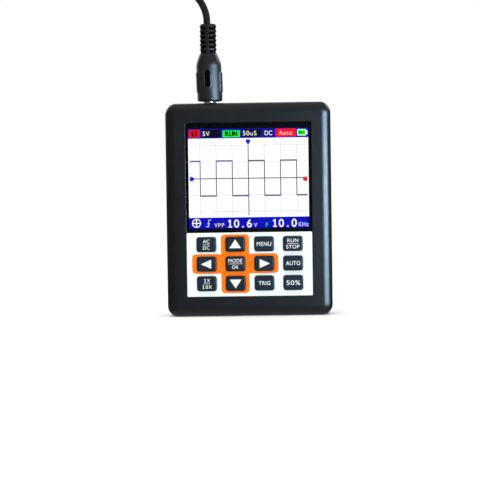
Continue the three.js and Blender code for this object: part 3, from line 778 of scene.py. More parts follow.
def top_openings():
    """Cutting tools for the charging socket, the light, the jack, and the power switch's slot and scoop."""
    usb_low, usb_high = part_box("usb_socket")
    usb_width = usb_high.x - usb_low.x
    usb_depth = usb_high.y - usb_low.y
    usb_mouth = rounded_rect(usb_width, usb_depth, 0.5 * MM, 6, top_middle(usb_low, usb_high), 0.25 * MM)
    light = circle(LIGHT_HOLE, 32, light_middle())
    jack = circle(JACK_HIGH.x - PLUG_AXIS.x + 0.1 * MM, 48, PLUG_AXIS.xy)
    slider_x, slider_y = top_middle(*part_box("power_switch_slider"))
    switch_middle = (slider_x + SLIDER_TRAVEL / 2, slider_y)
    slot_width = SWITCH_SLOT["width"] + SLIDER_TRAVEL
    slot = rounded_rect(slot_width, SWITCH_SLOT["depth"], SWITCH_SLOT["corner"], 2, switch_middle)
    below = CASE_HEIGHT - WALL - CUT_PAST
    above = CASE_HEIGHT + CUT_PAST
    tools = [prism(outline, level, below, above) for outline in (usb_mouth, light, jack, slot)]
    steps = [(0, -0.7 * MM), (0.25 * MM, -0.35 * MM), (0.3 * MM, 0), (0.3 * MM, CUT_PAST)]
    rings = []
    for grow, height in steps:
        outline = rounded_rect(SCOOP["width"], SCOOP["depth"], SCOOP["corner"], 10, switch_middle, grow)
        rings.append(level(outline, CASE_HEIGHT + height))
    return [*tools, loft(rings)]


def light_middle():
    """The charge light's axis. Its lens is 2 mm across and its foot is wider, towards the front."""
    low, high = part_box("charge_light")
    return ((low.x + high.x) / 2, high.y - 1 * MM)


def rear_label():
    """A blank sticker in the recess at the back."""
    gap = 0.25 * MM
    deep = BACK_Y - LABEL["depth"]
    profile = [(gap, deep), (gap, deep + 0.12 * MM), (1.1 * gap, deep + 0.15 * MM)]
    mesh = plate(LABEL["width"], LABEL["height"], LABEL["corner"] - gap, 8, CASE_MIDDLE, profile)
    piece("rear_label", mesh, LABEL_FILM, "case")


# ---- Window, keypad sheet and keys ----

KEY = {"width": 8 * MM, "height": 6 * MM, "corner": 0.95 * MM, "edge": 0.55 * MM,
       "sheet_gap": 0.15 * MM, "shell_gap": 0.25 * MM}
INK = 0.02 * MM  # thickness of the print on the sheet
SHEET_CORNER = 0.4 * MM
PRINT = 0.04 * MM  # thickness of the print on a key

# The orange cross joins the four arrow keys and the key in their middle. Its sizes are in millimetres.
CROSS = {"left": -24, "right": 11.9, "low": 17.85, "high": 26.05, "corner": 1.6}
CROSS_BAR = {"left": -11.95, "right": -0.15, "low": 9.7, "high": 34.15}


def screen_window():
    """A clear plate, with a black border printed on its back."""
    middle = (0, (WINDOW_LOW.z + WINDOW_HIGH.z) / 2)
    height = WINDOW_HIGH.z - WINDOW_LOW.z
    print_y = WINDOW_HIGH.y
    edge = 0.05 * MM
    profile = [(0, print_y - 0.06 * MM), (0, WINDOW_LOW.y + edge), (edge, WINDOW_LOW.y)]
    face = plate(SHEET_WIDTH, height, SHEET_CORNER, 6, middle, profile)
    piece("window_face", face, WINDOW_CLEAR, "case", ["screen_window"])
    outer = rounded_rect(SHEET_WIDTH, height, SHEET_CORNER, 6, middle)
    inner = rounded_rect(LIT_WIDTH, LIT_HEIGHT, 0.15 * MM, 6, LIT_MIDDLE)
    border = flat_shape([outer, inner], print_y, print_y - 0.04 * MM)
    piece("window_border", border, BORDER_INK, "case")


def key_outline(name, gap):
    return rounded_rect(KEY["width"], KEY["height"], KEY["corner"], 6, key_middle(name), gap)


def key_middle(name):
    return front_middle(*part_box(f"key_{name}"))


def cross_outline():
    """The cross, anticlockwise from its foot's right corner. Its inner corners are sharp."""
    radius = CROSS["corner"]
    bars = [CROSS_BAR, CROSS]
    points = []
    corners = [("right", "low", -90), ("right", "high", 0), ("left", "high", 90), ("left", "low", 180)]
    for side, end, start in corners:
        x_in = radius if side == "left" else -radius
        z_in = radius if end == "low" else -radius
        first, second = [arc(bar[side] + x_in, bar[end] + z_in, radius, start, start + 90) for bar in bars]
        points += [*first, (CROSS_BAR[side], CROSS[end]), *second]
        bars.reverse()
    return [(x * MM, z * MM) for x, z in points]


def keypad_sheet():
    height = SHEET_HIGH.z - SHEET_LOW.z
    middle = (0, (SHEET_LOW.z + SHEET_HIGH.z) / 2)
    outline = rounded_rect(SHEET_WIDTH, height, SHEET_CORNER, 6, middle)
    holes = [key_outline(name, KEY["sheet_gap"]) for name in ALL_KEYS]
    sheet = flat_shape([outline, *holes], SHEET_HIGH.y, SHEET_LOW.y)
    piece("keypad_overlay", sheet, SHEET_WHITE, "case", ["keypad_sheet"])
    crossed = [key_outline(name, KEY["sheet_gap"]) for name in ("up", "left", "ok", "right", "down")]
    ink = flat_shape([cross_outline(), *crossed], SHEET_LOW.y, SHEET_LOW.y - INK)
    piece("keypad_cross", ink, SHEET_ORANGE, "case")


def key_cap(name):
    """A key with a rounded edge round its flat top."""
    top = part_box(f"key_{name}")[0].y
    edge = KEY["edge"]

    def ring(inset, y):
        corner = max(KEY["corner"] - inset * 0.6, 0.2 * MM)
        width = KEY["width"] - 2 * inset
        height = KEY["height"] - 2 * inset
        return facing(rounded_rect(width, height, corner, 8, key_middle(name)), y)

    rings = [ring(0, FRONT_Y + FRONT_WALL), ring(0, top + edge)]
    rings += [ring(inset, top + drop) for inset, drop in rounding(edge, 6)[1:]]
    rings.append(ring(edge + 0.15 * MM, top))
    piece(f"cap_{name}", loft(rings), KEY_RUBBER, f"key_{name}", [f"key_{name}"])


LEGENDS = {  # the words on a key, from the top, with the width and height of each in millimetres
    "menu": [("MENU", 6.0, 1.65)],
    "auto": [("AUTO", 5.9, 1.7)],
    "trigger": [("TRIG", 4.9, 1.6)],
    "half_level": [("50%", 5.7, 1.85)],
    "ac_dc": [("AC", 2.75, 1.45), ("DC", 2.75, 1.45)],
    "run_stop": [("RUN", 4.5, 1.45), ("STOP", 5.5, 1.45)],
    "ok": [("MODE", 5.8, 1.45), ("OK", 2.75, 1.45)],
    "attenuation": [("1X", 2.8, 1.45), ("10X", 4.2, 1.45)],
}
ARROWS = {"up": 0, "left": 90, "down": 180, "right": -90}


def key_legend(name):
    """White print on a key: an arrow, a word, or two words with a rule between them."""
    x, z = key_middle(name)
    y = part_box(f"key_{name}")[0].y - 0.01 * MM
    if name in ARROWS:
        meshes = [arrow_print(ARROWS[name], x, z, y)]
    else:
        words = LEGENDS[name]
        rise = 1.32 * MM if len(words) == 2 else 0
        meshes = []
        for side, (text, width, height) in zip((1, -1), words):
            meshes.append(word_print(text, (x, z + side * rise), height * MM, width * MM, y))
        if len(words) == 2:
            meshes.append(flat_print(rounded_rect(words[0][1] * MM, 0.15 * MM, 0.05 * MM, 2, (x, z)), y))
    piece(f"legend_{name}", merged(*meshes), LEGEND_INK, f"key_{name}")


def flat_print(outline, y):
    return flat_shape([outline], y + PRINT / 2, y - PRINT / 2)


def word_print(text, middle, height, width, y):
    """Words in the font's own spacing. Those that start with a one stand in even cells."""
    if text[0] != "1":
        return lettering(text, middle, height, width, y, PRINT)
    low = middle[1] - height / 2
    return even_lettering(text, middle[0] - width / 2, middle[0] + width / 2, low, low + height, y, PRINT)


def arrow_print(turn, x, z, y):
    width, height = (4.8, 3.6) if turn in (0, 180) else (3.7, 4.2)
    nudge = Matrix.Rotation(math.radians(turn), 2) @ Vector((0, 0.2 * MM))
    return flat_print(triangle((x + nudge.x, z + nudge.y), width * MM, height * MM, turn), y)


def triangle(middle, width, height, turn):
    """An arrowhead with slightly rounded corners. Unturned, it points up."""
    points = []
    cut = 0.144 * MM
    tips = [Vector((0, height / 2)), Vector((-width / 2, -height / 2)), Vector((width / 2, -height / 2))]
    for i, tip in enumerate(tips):
        before, after = tips[i - 1], tips[(i + 1) % 3]
        start = tip + (before - tip).normalized() * cut
        end = tip + (after - tip).normalized() * cut
        for share in spread(0, 1, 4):
            points.append(start.lerp(tip, share).lerp(tip.lerp(end, share), share))
    swing = Matrix.Rotation(math.radians(turn), 2)
    return [tuple(Vector(middle) + swing @ point) for point in points]

# ---- Display ----


def srgb(red, green, blue):
    """A colour given on the 0 to 255 scale of screens, as linear light."""
    def linear(value):
        share = value / 255
        return share / 12.92 if share <= 0.04045 else ((share + 0.055) / 1.055) ** 2.4

    return (linear(red), linear(green), linear(blue))


WHITE = srgb(255, 255, 255)
BLACK = srgb(0, 3, 24)
STATUS_BLUE = srgb(26, 20, 186)
READOUT_BLUE = srgb(2, 0, 184)
NAVY = srgb(0, 0, 128)
RED = srgb(255, 6, 8)
DEEP_RED = srgb(232, 8, 22)
DARK_RED = srgb(16, 0, 2)
PINK = srgb(255, 215, 220)
GREEN = srgb(20, 250, 30)
DARK_GREEN = srgb(0, 14, 2)
BOTTLE_GREEN = srgb(10, 60, 20)
YELLOW = srgb(225, 215, 90)
LEAF = srgb(20, 190, 90)
PALE = srgb(200, 205, 245)
GRID = srgb(176, 176, 186)
AXIS = srgb(88, 88, 94)
TRACE = srgb(56, 46, 146)
MARK_BLUE = srgb(20, 20, 235)
MARK_RED = srgb(240, 12, 24)

# The display's layout, in millimetres.
HALF_LIT = LIT_WIDTH / MM / 2
SCREEN_LOW = LIT_LOW / MM
SCREEN_HIGH = LIT_HIGH / MM
STATUS_LOW = SCREEN_HIGH - 3.95
READOUT_HIGH = SCREEN_LOW + 4.55
PLOT = {"left": -24.4, "right": 24.3, "low": READOUT_HIGH + 0.7, "high": STATUS_LOW - 1.2}
DIVISION = (6.71, 6.88)
AXES = (-0.05, 57.45)
DASH = 0.42
DASH_GAP = 0.25
SETTING_LOW, SETTING_HIGH = 75.3, 77.15
TRACE_HIGH = 64.8
TRACE_LOW = 50.2


def display_panel():
    middle = (0, (PANEL_LOW.z + PANEL_HIGH.z) / 2)
    width = PANEL_HIGH.x - PANEL_LOW.x
    height = PANEL_HIGH.z - PANEL_LOW.z
    edge = 0.2 * MM
    profile = [(0, PANEL_HIGH.y), (0, PANEL_LOW.y + edge), (edge, PANEL_LOW.y)]
    mesh = plate(width, height, 0.4 * MM, 4, middle, profile)
    piece("display_cell", mesh, DISPLAY_GLASS, "case", ["display_panel"])


class Picture:
    """Gathers flat coloured shapes for the display. Places are (x, z) in millimetres."""

    def __init__(self, name):
        self.name = name
        self.work = bmesh.new()
        self.tint = self.work.loops.layers.float_color.new("tint")

    def colour(self, faces, colour):
        for face in faces:
            for corner in face.loops:
                corner[self.tint] = (*colour, 1)

    def depth(self, layer):
        """Layers lie on each other in front of the panel. A higher one hides those below it."""
        return PANEL_LOW.y - (0.02 + 0.02 * layer) * MM

    def outline(self, points, colour, layer):
        verts = [self.work.verts.new((x * MM, self.depth(layer), z * MM)) for x, z in points]
        face = self.work.faces.new(verts)
        face.normal_update()
        if face.normal.y > 0:
            face.normal_flip()
        self.colour([face], colour)

    def rectangle(self, left, right, low, high, colour, layer=1, corner=0.0):
        if corner:
            middle = ((left + right) / 2, (low + high) / 2)
            self.outline(rounded_rect(right - left, high - low, corner, 4, middle), colour, layer)
        else:
            self.outline([(left, low), (right, low), (right, high), (left, high)], colour, layer)

    def words(self, text, left, right, low, high, colour, bold=0.0):
        edges = [edge * MM for edge in (left, right, low, high)]
        mesh = even_lettering(text, *edges, self.depth(2), 0.004 * MM, bold)
        before = set(self.work.faces)
        self.work.from_mesh(mesh)
        bpy.data.meshes.remove(mesh)
        self.colour([face for face in self.work.faces if face not in before], colour)

    def heavy_words(self, text, left, right, low, high, colour, bold):
        """Drawn twice, a little apart, for strokes that are thicker than the font can be made."""
        for shift in (0, 0.2):
            self.words(text, left + shift, right + shift, low, high, colour, bold)

    def finish(self):
        mesh = bpy.data.meshes.new(self.name)
        self.work.to_mesh(mesh)
        self.work.free()
        piece(self.name, mesh, LIT_PIXELS, "case")


def screen_background():
    picture = Picture("screen_background")
    picture.rectangle(-HALF_LIT, HALF_LIT, READOUT_HIGH, STATUS_LOW, WHITE, 0)
    picture.rectangle(-HALF_LIT, HALF_LIT, STATUS_LOW, SCREEN_HIGH, STATUS_BLUE, 0)
    picture.rectangle(-HALF_LIT, HALF_LIT, SCREEN_LOW, READOUT_HIGH, READOUT_BLUE, 0)
    picture.finish()


def graticule():
    """Dashed lines one division apart, two solid axes, and ticks along the axes."""
    picture = Picture("screen_graticule")
    left, right, low, high = PLOT["left"], PLOT["right"], PLOT["low"], PLOT["high"]
    half = 0.11
    for column in (-3, -2, -1, 1, 2, 3):
        x = AXES[0] + column * DIVISION[0]
        for z in dashes(low, high):
            picture.rectangle(x - half, x + half, z, z + DASH, GRID)
    for row in (-2, -1, 1, 2):
        z = AXES[1] + row * DIVISION[1]
        for x in dashes(left, right):
            picture.rectangle(x, x + DASH, z - half, z + half, GRID)
    picture.rectangle(AXES[0] - 0.18, AXES[0] + 0.18, low, high, AXIS)
    picture.rectangle(left, right, AXES[1] - 0.2, AXES[1] + 0.2, AXIS)
    axis_ticks(picture)
    picture.finish()


def dashes(start, end):
    """Where each dash of a line starts."""
    found = []
    place = start
    while place + DASH < end:
        found.append(place)
        place += DASH + DASH_GAP
    return found


def axis_ticks(picture):
    """Five ticks to a division, each crossing its axis."""
    reach, half = 0.32, 0.07
    for step in range(-18, 19):
        x = AXES[0] + step * DIVISION[0] / 5
        if PLOT["left"] < x < PLOT["right"]:
            picture.rectangle(x - half, x + half, AXES[1] - reach, AXES[1] + reach, AXIS)
        z = AXES[1] + step * DIVISION[1] / 5
        if PLOT["low"] < z < PLOT["high"]:
            picture.rectangle(AXES[0] - reach, AXES[0] + reach, z - half, z + half, AXIS)


def square_wave():
    """The wave turns at every division. Its flats are drawn thicker than its edges."""
    picture = Picture("screen_trace")
    edges = [AXES[0] + step * DIVISION[0] for step in range(-3, 4)]
    thick, thin = 0.27, 0.19
    for i, (start, end) in enumerate(zip([-24.25, *edges], [*edges, 24.3])):
        z = TRACE_HIGH if i % 2 == 0 else TRACE_LOW
        picture.rectangle(start - thin, end + thin, z - thick, z + thick, TRACE, 3)
    for x in edges:
        picture.rectangle(x - thin, x + thin, TRACE_LOW, TRACE_HIGH, TRACE, 2)
    picture.finish()


def markers():
    picture = Picture("screen_markers")
    pointer(picture, AXES[0], 72.65, 0, MARK_BLUE)
    pointer(picture, -23.55, 57.4, 90, MARK_BLUE)
    pointer(picture, 23.5, 56.85, -90, MARK_RED)
    picture.finish()


def pointer(picture, x, z, turn, colour):
    """A square tag with a pointed end. Unturned, it points down."""
    shape = [(-0.92, 1.0), (-0.92, -0.1), (-0.16, -1.05), (0.16, -1.05), (0.92, -0.1), (0.92, 1.0)]
    swing = Matrix.Rotation(math.radians(turn), 2)
    picture.outline([tuple(Vector((x, z)) + swing @ Vector(point)) for point in shape], colour, 4)


def status_bar():
    """Settings in coloured boxes along the top of the screen, and a battery."""
    picture = Picture("screen_status")
    low, high = STATUS_LOW + 0.45, SCREEN_HIGH - 0.25
    picture.rectangle(-24.7, -20.1, low, high, DEEP_RED, corner=0.3)
    picture.heavy_words("1X", -23.9, -21.1, low + 0.5, high - 0.65, DARK_RED, 0.03)
    picture.rectangle(-19.6, -11.2, low, high, BLACK)
    picture.rectangle(-10.6, -3.4, low, high - 0.5, GREEN, corner=0.2)
    picture.heavy_words("RUN", -9.7, -4.6, low + 0.45, high - 0.9, DARK_GREEN, 0.02)
    picture.rectangle(-2.8, 5.75, low, high, BLACK)
    picture.rectangle(6.3, 10.9, low, high, NAVY)
    picture.rectangle(11.6, 19.9, low, high, RED)
    settings = [("5V", -19.2, -16.0), ("50uS", -2.4, 3.8), ("DC", 6.9, 10.2), ("Auto", 12.9, 18.6)]
    for text, left, right in settings:
        colour = PINK if text == "Auto" else WHITE
        picture.words(text, left, right, SETTING_LOW, SETTING_HIGH, colour)
    battery(picture, low, high)
    picture.finish()


def battery(picture, low, high):
    picture.rectangle(20.5, 24.2, low + 0.3, high - 0.3, WHITE, 1, 0.4)
    picture.rectangle(24.0, 24.8, low + 0.85, high - 0.85, WHITE, 1, 0.3)
    picture.rectangle(20.75, 23.95, low + 0.55, high - 0.55, GREEN, 2, 0.25)
    picture.rectangle(21.3, 22.2, low + 1.2, high - 1.25, BOTTLE_GREEN, 3)
    picture.rectangle(22.0, 23.5, low + 1.45, high - 1.5, BOTTLE_GREEN, 3)


def readout_bar():
    """Measured values along the bottom of the screen, after a crossed ring and a rising edge."""
    picture = Picture("screen_readout")
    x, z = -22.0, 38.9
    picture.outline(circle(1.86, 40, (x, z)), WHITE, 1)
    picture.outline(circle(1.5, 40, (x, z)), READOUT_BLUE, 2)
    picture.rectangle(x - 1.6, x + 1.6, z - 0.2, z + 0.2, WHITE, 3)
    picture.rectangle(x - 0.2, x + 0.2, z - 1.6, z + 1.6, WHITE, 3)
    rising_edge(picture)
    picture.words("VPP", -14.6, -10.2, 37.2, 38.75, YELLOW, 0.015)
    picture.words("10.6", -9.3, 1.4, 37.0, 40.2, WHITE, 0.01)
    picture.words("V", 1.8, 3.5, 37.2, 38.7, PALE, 0.02)
    picture.words("F", 6.6, 8.2, 37.1, 38.8, LEAF, 0.02)
    picture.words("10.0", 9.4, 20.1, 37.0, 40.2, WHITE, 0.01)
    picture.words("KHz", 20.6, 25.0, 37.2, 38.8, PALE, 0.02)
    picture.finish()


def rising_edge(picture):
    picture.rectangle(-18.0, -16.9, 37.3, 37.6, PALE)
    picture.rectangle(-17.1, -16.8, 37.3, 40.3, PALE)
    picture.rectangle(-17.1, -15.9, 40.0, 40.3, PALE)
    picture.outline([(-17.55, 38.5), (-16.35, 38.5), (-16.95, 39.3)], PALE, 2)


# ---- Jack and plug ----

# The plug's shape is described in millimetres above the case.
BARREL = {"radius": 5.25, "boot": 3.5, "taper_start": 16.2, "taper_end": 21.4}
END_ROUNDING = {"low": 0.7, "high": 0.95}
PADS = {"low": 5.0, "high": 13.3, "rise": 0.36, "half_turn": 27, "rib_pitch": 1.05, "rib_depth": 0.09}
DISH = {"middle": 10.4, "height": 7.2, "width": 2.4, "depth": 0.8, "lip": 0.12, "turn": math.radians(-4)}
SLOTS = {"count": 6, "first": 21.9, "pitch": 1.93, "height": 1.05, "shallow": 0.25, "deeper": 1.1}
BLUR = {"pads": 0.12, "slots": 0.06}  # half the width of the soft step at an edge
LEAN = {"boot": 0.45 * MM, "lead": 0.85 * MM, "start": 1, "end": 23}
BEND_WAY = Vector((-math.cos(PLUG_TURN), math.sin(PLUG_TURN), 0))
LEAD_RADIUS = 1.45 * MM
BEND = {"radius": 15.7 * MM, "turn": math.radians(70), "start": PLUG_HIGH.z + 0.8 * MM}


def around_plug(profile, segments=72):
    return lathe(profile, PLUG_AXIS.xy, segments)


def input_jack():
    """A plated collar round a bore, with a white insulator at the bottom of it."""
    outer = JACK_HIGH.x - PLUG_AXIS.x - 0.15 * MM
    bore = 1.85 * MM
    top = JACK_HIGH.z
    floor = JACK_LOW.z + 2 * MM
    profile = [(outer, JACK_LOW.z), (outer, CASE_HEIGHT)]
    profile += [(outer - bead(z), z) for z in spread(CASE_HEIGHT, top, 24)]
    profile += [(bore + 0.15 * MM, top), (bore, top - 0.15 * MM), (bore, floor)]
    piece("jack_collar", around_plug(profile), NICKEL, "case", ["input_jack"])
    disc, hole, edge = 1.6 * MM, 0.62 * MM, 0.1 * MM
    top = floor + 0.6 * MM
    profile = [(disc, floor + 0.02 * MM), (disc, top - edge), (disc - edge, top)]
    profile += [(hole, top), (hole, floor + 0.05 * MM)]
    piece("jack_insulator", around_plug(profile), CORE_WHITE, "case")


def bead(z):
    """Two rounded beads run round the jack's collar: how far the surface dips at height z."""
    beads = 2
    share = (z - CASE_HEIGHT) / (JACK_HIGH.z - CASE_HEIGHT)
    across = 2 * ((share * beads) % 1) - 1 if share < 1 else 1
    return 0.3 * MM * (1 - math.sqrt(max(0, 1 - across * across)))


def plug_contact():
    """The plated nose that the jack grips, with a groove round it, and its gold centre pin."""
    shoulder = PLUG_LOW.z + 0.3 * MM
    body = CONTACT_HIGH.x - PLUG_AXIS.x
    low = CONTACT_LOW.z + 1 * MM
    nose, inside, groove = 1.75 * MM, 1.25 * MM, 1.61 * MM
    profile = [
        (inside, low + 1.2 * MM), (inside, low), (nose - 0.2 * MM, low), (nose, low + 0.3 * MM),
        (nose, low + 1.0 * MM), (groove, low + 1.25 * MM), (groove, low + 1.7 * MM), (nose, low + 1.95 * MM),
        (nose, shoulder), (body, shoulder), (body, CONTACT_HIGH.z),
    ]
    piece("plug_nose", around_plug(profile), NICKEL, "plug_metal", ["plug_contact"])
    tip, pin = CONTACT_LOW.z, 0.45 * MM
    profile = [(0.2 * MM, tip), (0.4 * MM, tip + 0.15 * MM), (pin, tip + 0.4 * MM), (pin, low + 1.25 * MM)]
    piece("plug_pin", around_plug(profile, 24), GOLD, "plug_metal")


def smooth_step(value, start, end):
    share = min(max((value - start) / (end - start), 0), 1)
    return share * share * (3 - 2 * share)


def soft_between(value, low, high, blur):
    """1 between low and high, and 0 outside, with a soft step of twice blur at each."""
    return smooth_step(value, low - blur, low + blur) * (1 - smooth_step(value, high - blur, high + blur))


def above_case(z):
    """Height above the case in millimetres."""
    return (z - CASE_HEIGHT) / MM


def leaning(z, most):
    """How far the lead's weight pulls the soft plug over at height z."""
    return BEND_WAY * most * smooth_step(above_case(z), LEAN["start"], LEAN["end"])


def barrel_radius(height):
    """The plug's plain radius: a barrel, a rounded shoulder and a slim boot with rounded ends."""
    start, end = BARREL["taper_start"], BARREL["taper_end"]
    share = min(max((height - start) / (end - start), 0), 1)
    drop = (1 - math.cos(math.pi / 2 * share)) ** 0.8 * (0.88 + 0.12 * share)
    radius = BARREL["radius"] - (BARREL["radius"] - BARREL["boot"]) * drop
    for z, reach in ((PLUG_LOW.z, END_ROUNDING["low"]), (PLUG_HIGH.z, END_ROUNDING["high"])):
        near = abs(height - above_case(z))
        if near < reach:
            radius -= reach * (1 - math.sqrt(1 - (1 - near / reach) ** 2))
    return radius


def pad_rise(height, angle):
    """Ribbed grips stand out on both sides of the barrel."""
    limit = math.cos(math.radians(PADS["half_turn"]))
    rise = smooth_step(abs(math.sin(angle)), limit - 0.02, limit + 0.01)
    rise *= soft_between(height, PADS["low"], PADS["high"], BLUR["pads"])
    ribs = 0.5 + 0.5 * math.cos(2 * math.pi * (height - PADS["low"]) / PADS["rib_pitch"])
    return rise * (PADS["rise"] - PADS["rib_depth"] * ribs)


def dish_depth(height, angle):
    """An upright hollow with round ends in the barrel's front. A lip stands up right of it and below it."""
    if math.cos(angle) < 0:
        return 0
    half = DISH["width"] / 2
    across = math.sin(angle - DISH["turn"]) * BARREL["radius"]
    along = max(abs(height - DISH["middle"]) - (DISH["height"] / 2 - half), 0)
    out = math.hypot(across, along) / half  # 1 on the dish's edge
    lip = DISH["lip"] * smooth_step(out, 0.95, 1.1) * (1 - smooth_step(out, 1.15, 1.45))
    lip *= smooth_step(across - 0.3 * (height - DISH["middle"]), 0.3, 1.1)
    return DISH["depth"] * (1 - smooth_step(out, 0.75, 1.0)) - lip


def slot_depth(height, angle):
    """The boot's slots are deepest half way between its spines and its sides."""
    nearest = round((height - SLOTS["first"]) / SLOTS["pitch"])
    if not 0 <= nearest < SLOTS["count"]:
        return 0
    off = height - SLOTS["first"] - nearest * SLOTS["pitch"]
    half = SLOTS["height"] / 2
    open_share = soft_between(off, -half, half, BLUR["slots"])
    beside_spine = smooth_step(abs(math.sin(angle)), 0.2, 0.25)
    return open_share * beside_spine * (SLOTS["shallow"] + SLOTS["deeper"] * abs(math.sin(2 * angle)))


def plug_surface(height, angle):
    """The plug's radius in millimetres. An angle of 0 is its front, and a right angle is its side."""
    radius = barrel_radius(height) + pad_rise(height, angle)
    return radius - dish_depth(height, angle) - slot_depth(height, angle)


def plug_heights():
    """Heights of the rings of points: close together at the lower end and where the slots are."""
    heights = [above_case(PLUG_LOW.z) + 0.08 * i for i in range(11)]
    while heights[-1] < BARREL["taper_end"] - 0.5:
        heights.append(heights[-1] + 0.12)
    while heights[-1] < above_case(PLUG_HIGH.z) - 0.05:
        heights.append(heights[-1] + 0.05)
    return heights + [above_case(PLUG_HIGH.z)]


def plug_angles():
    """Angles round the plug: close together at its front, where the dish is."""
    degrees = spread(-30, 30, 60)[:-1] + spread(30, 330, 120)[:-1]
    return [math.radians(angle) for angle in degrees]


def plug_ring(radius_at, z, lean):
    """A ring of points round the plug. Its front looks a little to the left of -y."""
    middle = PLUG_AXIS + Vector((0, 0, z)) + leaning(z, lean)
    ring = []
    for angle in plug_angles():
        turned = angle - PLUG_TURN
        ring.append(middle + radius_at(angle) * Vector((math.sin(turned), -math.cos(turned), 0)))
    return ring


def plug_barrel():
    """Moulded rubber, from the contact's pocket, round the outside, to the hole for the lead."""
    pocket, hole = 2.5 * MM, 1.5 * MM
    rings = [plug_ring(lambda angle: pocket, z, 0) for z in (CONTACT_HIGH.z, PLUG_LOW.z)]
    for height in plug_heights():
        z = CASE_HEIGHT + height * MM
        rings.append(plug_ring(lambda angle: plug_surface(height, angle) * MM, z, LEAN["boot"]))
    for depth in (0, 2 * MM):
        rings.append(plug_ring(lambda angle: hole, PLUG_HIGH.z - depth, LEAN["lead"]))
    mesh = loft(rings)
    mark_hollows(mesh)
    piece("plug_body", mesh, PLUG_RUBBER, "plug_lead", ["plug_barrel"], sharp=50)


def mark_hollows(mesh):
    """Notes how far each point is sunk below the plug's plain surface, for its material to paint shade into
    the hollows.
    """
    hollow = mesh.attributes.new("hollow", "FLOAT", "POINT")
    for vertex, mark in zip(mesh.vertices, hollow.data):
        out = vertex.co - PLUG_AXIS - leaning(vertex.co.z, LEAN["boot"])
        sunk = barrel_radius(above_case(vertex.co.z)) - out.xy.length / MM
        mark.value = smooth_step(sunk, 0.0, 0.15)


# ---- Lead ----


def lead_point(along):
    """(place, direction) on the lead, along metres past the start of its bend."""
    swept = min(max(along, 0), BEND["radius"] * BEND["turn"])
    angle = swept / BEND["radius"]
    direction = BEND_WAY * math.sin(angle) + Vector((0, 0, math.cos(angle)))
    sideways = BEND_WAY * BEND["radius"] * (1 - math.cos(angle))
    upwards = Vector((0, 0, BEND["start"] + BEND["radius"] * math.sin(angle)))
    place = PLUG_AXIS + sideways + upwards + direction * (along - swept)
    return place + leaning(place.z, LEAN["lead"]), direction


def lead_ring(along, radius, segments=40):
    place, direction = lead_point(along)
    side = BEND_WAY.cross(Vector((0, 0, 1))).normalized()
    out = side.cross(direction)
    return [place + side * x + out * z for x, z in circle(radius, segments)]


def probe_lead():
    """A jacket. At its cut end the shield, the core and the wire each stand out a little further."""
    start = LEAD_LOW.z - BEND["start"]
    end = BEND["radius"] * BEND["turn"]
    round_edge = 0.12 * MM
    stripped = end - 1 * MM
    rings = [lead_ring(along, LEAD_RADIUS) for along in spread(start, end, 70)[:-1]]
    rings += [lead_ring(end - round_edge, LEAD_RADIUS), lead_ring(end, LEAD_RADIUS - round_edge)]
    rings += [lead_ring(end, 1.02 * MM), lead_ring(stripped, 1.0 * MM)]
    piece("lead_jacket", loft(rings), CABLE_JACKET, "plug_lead", ["probe_cable"])

    def layer(radius, straight_to, segments=40):
        return [lead_ring(stripped, radius, segments), lead_ring(end + straight_to, radius, segments)]

    shield = [*layer(0.98 * MM, 0.45 * MM), lead_ring(end + 0.5 * MM, 0.9 * MM)]
    piece("lead_shield", loft(shield), BRAID, "plug_lead")
    core = [*layer(0.8 * MM, 1.05 * MM), lead_ring(end + 1.12 * MM, 0.73 * MM)]
    piece("lead_core", loft(core), CORE_WHITE, "plug_lead", ["cable_core"])
    piece("lead_wire", loft(layer(0.26 * MM, 1.45 * MM, 16)), GOLD, "plug_lead")


# ---- Top wall: charging socket, charge light, power switch ----


def usb_outline(inset):
    """A flat-topped mouth with two slanted lower corners, as such sockets have."""
    low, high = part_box("usb_socket")
    left, right = low.x + inset, high.x - inset
    back, front = high.y - inset, low.y + inset
    slant = 1.0 * MM
    return [
        (left, front), (right, front), (right, back - slant), (right - slant * 0.9, back),
        (left + slant * 0.9, back), (left, back - slant),
    ]


def usb_socket():
    """A folded metal shell round a tongue with five gold strips."""
    low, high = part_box("usb_socket")
    metal_sheet = 0.3 * MM
    edge = 0.1 * MM
    rings = [
        level(usb_outline(metal_sheet), low.z + metal_sheet),
        level(usb_outline(metal_sheet), high.z - edge),
        level(usb_outline(metal_sheet * 0.6), high.z),
        level(usb_outline(0.05 * MM), high.z),
        level(usb_outline(0), high.z - edge),
        level(usb_outline(0), low.z),
    ]
    piece("usb_shell", loft(rings), STEEL, "case", ["usb_socket"])
    x, y = top_middle(low, high)
    y -= 0.35 * MM
    tongue = []
    for shrink, z in ((0, low.z + 0.2 * MM), (0, high.z - 1.6 * MM), (0.12 * MM, high.z - 1.45 * MM)):
        tongue.append(level(rounded_rect(4.2 * MM - shrink, 0.62 * MM - shrink, 0.1 * MM, 2, (x, y)), z))
    piece("usb_tongue", loft(tongue), DARK_PLASTIC, "case")
    strips = []
    for i in (-2, -1, 0, 1, 2):
        strip = rounded_rect(0.3 * MM, 0.08 * MM, 0.03 * MM, 2, (x + i * 0.72 * MM, y + 0.33 * MM))
        strips.append(prism(strip, level, low.z + 0.4 * MM, high.z - 1.7 * MM))
    piece("usb_contacts", merged(*strips), GOLD, "case")


def charge_light():
    """A clear pin with a domed end."""
    low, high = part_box("charge_light")
    radius = 1.0 * MM
    dome = 0.45 * MM
    profile = [(radius, low.z + 1 * MM), (radius, high.z - dome)]
    for angle in quarter(6)[1:]:
        profile.append((radius * max(math.cos(angle), 0.05), high.z - dome + dome * math.sin(angle)))
    mesh = lathe(profile, light_middle(), 40)
    piece("light_lens", mesh, LIGHT_PIPE, "case", ["charge_light"])


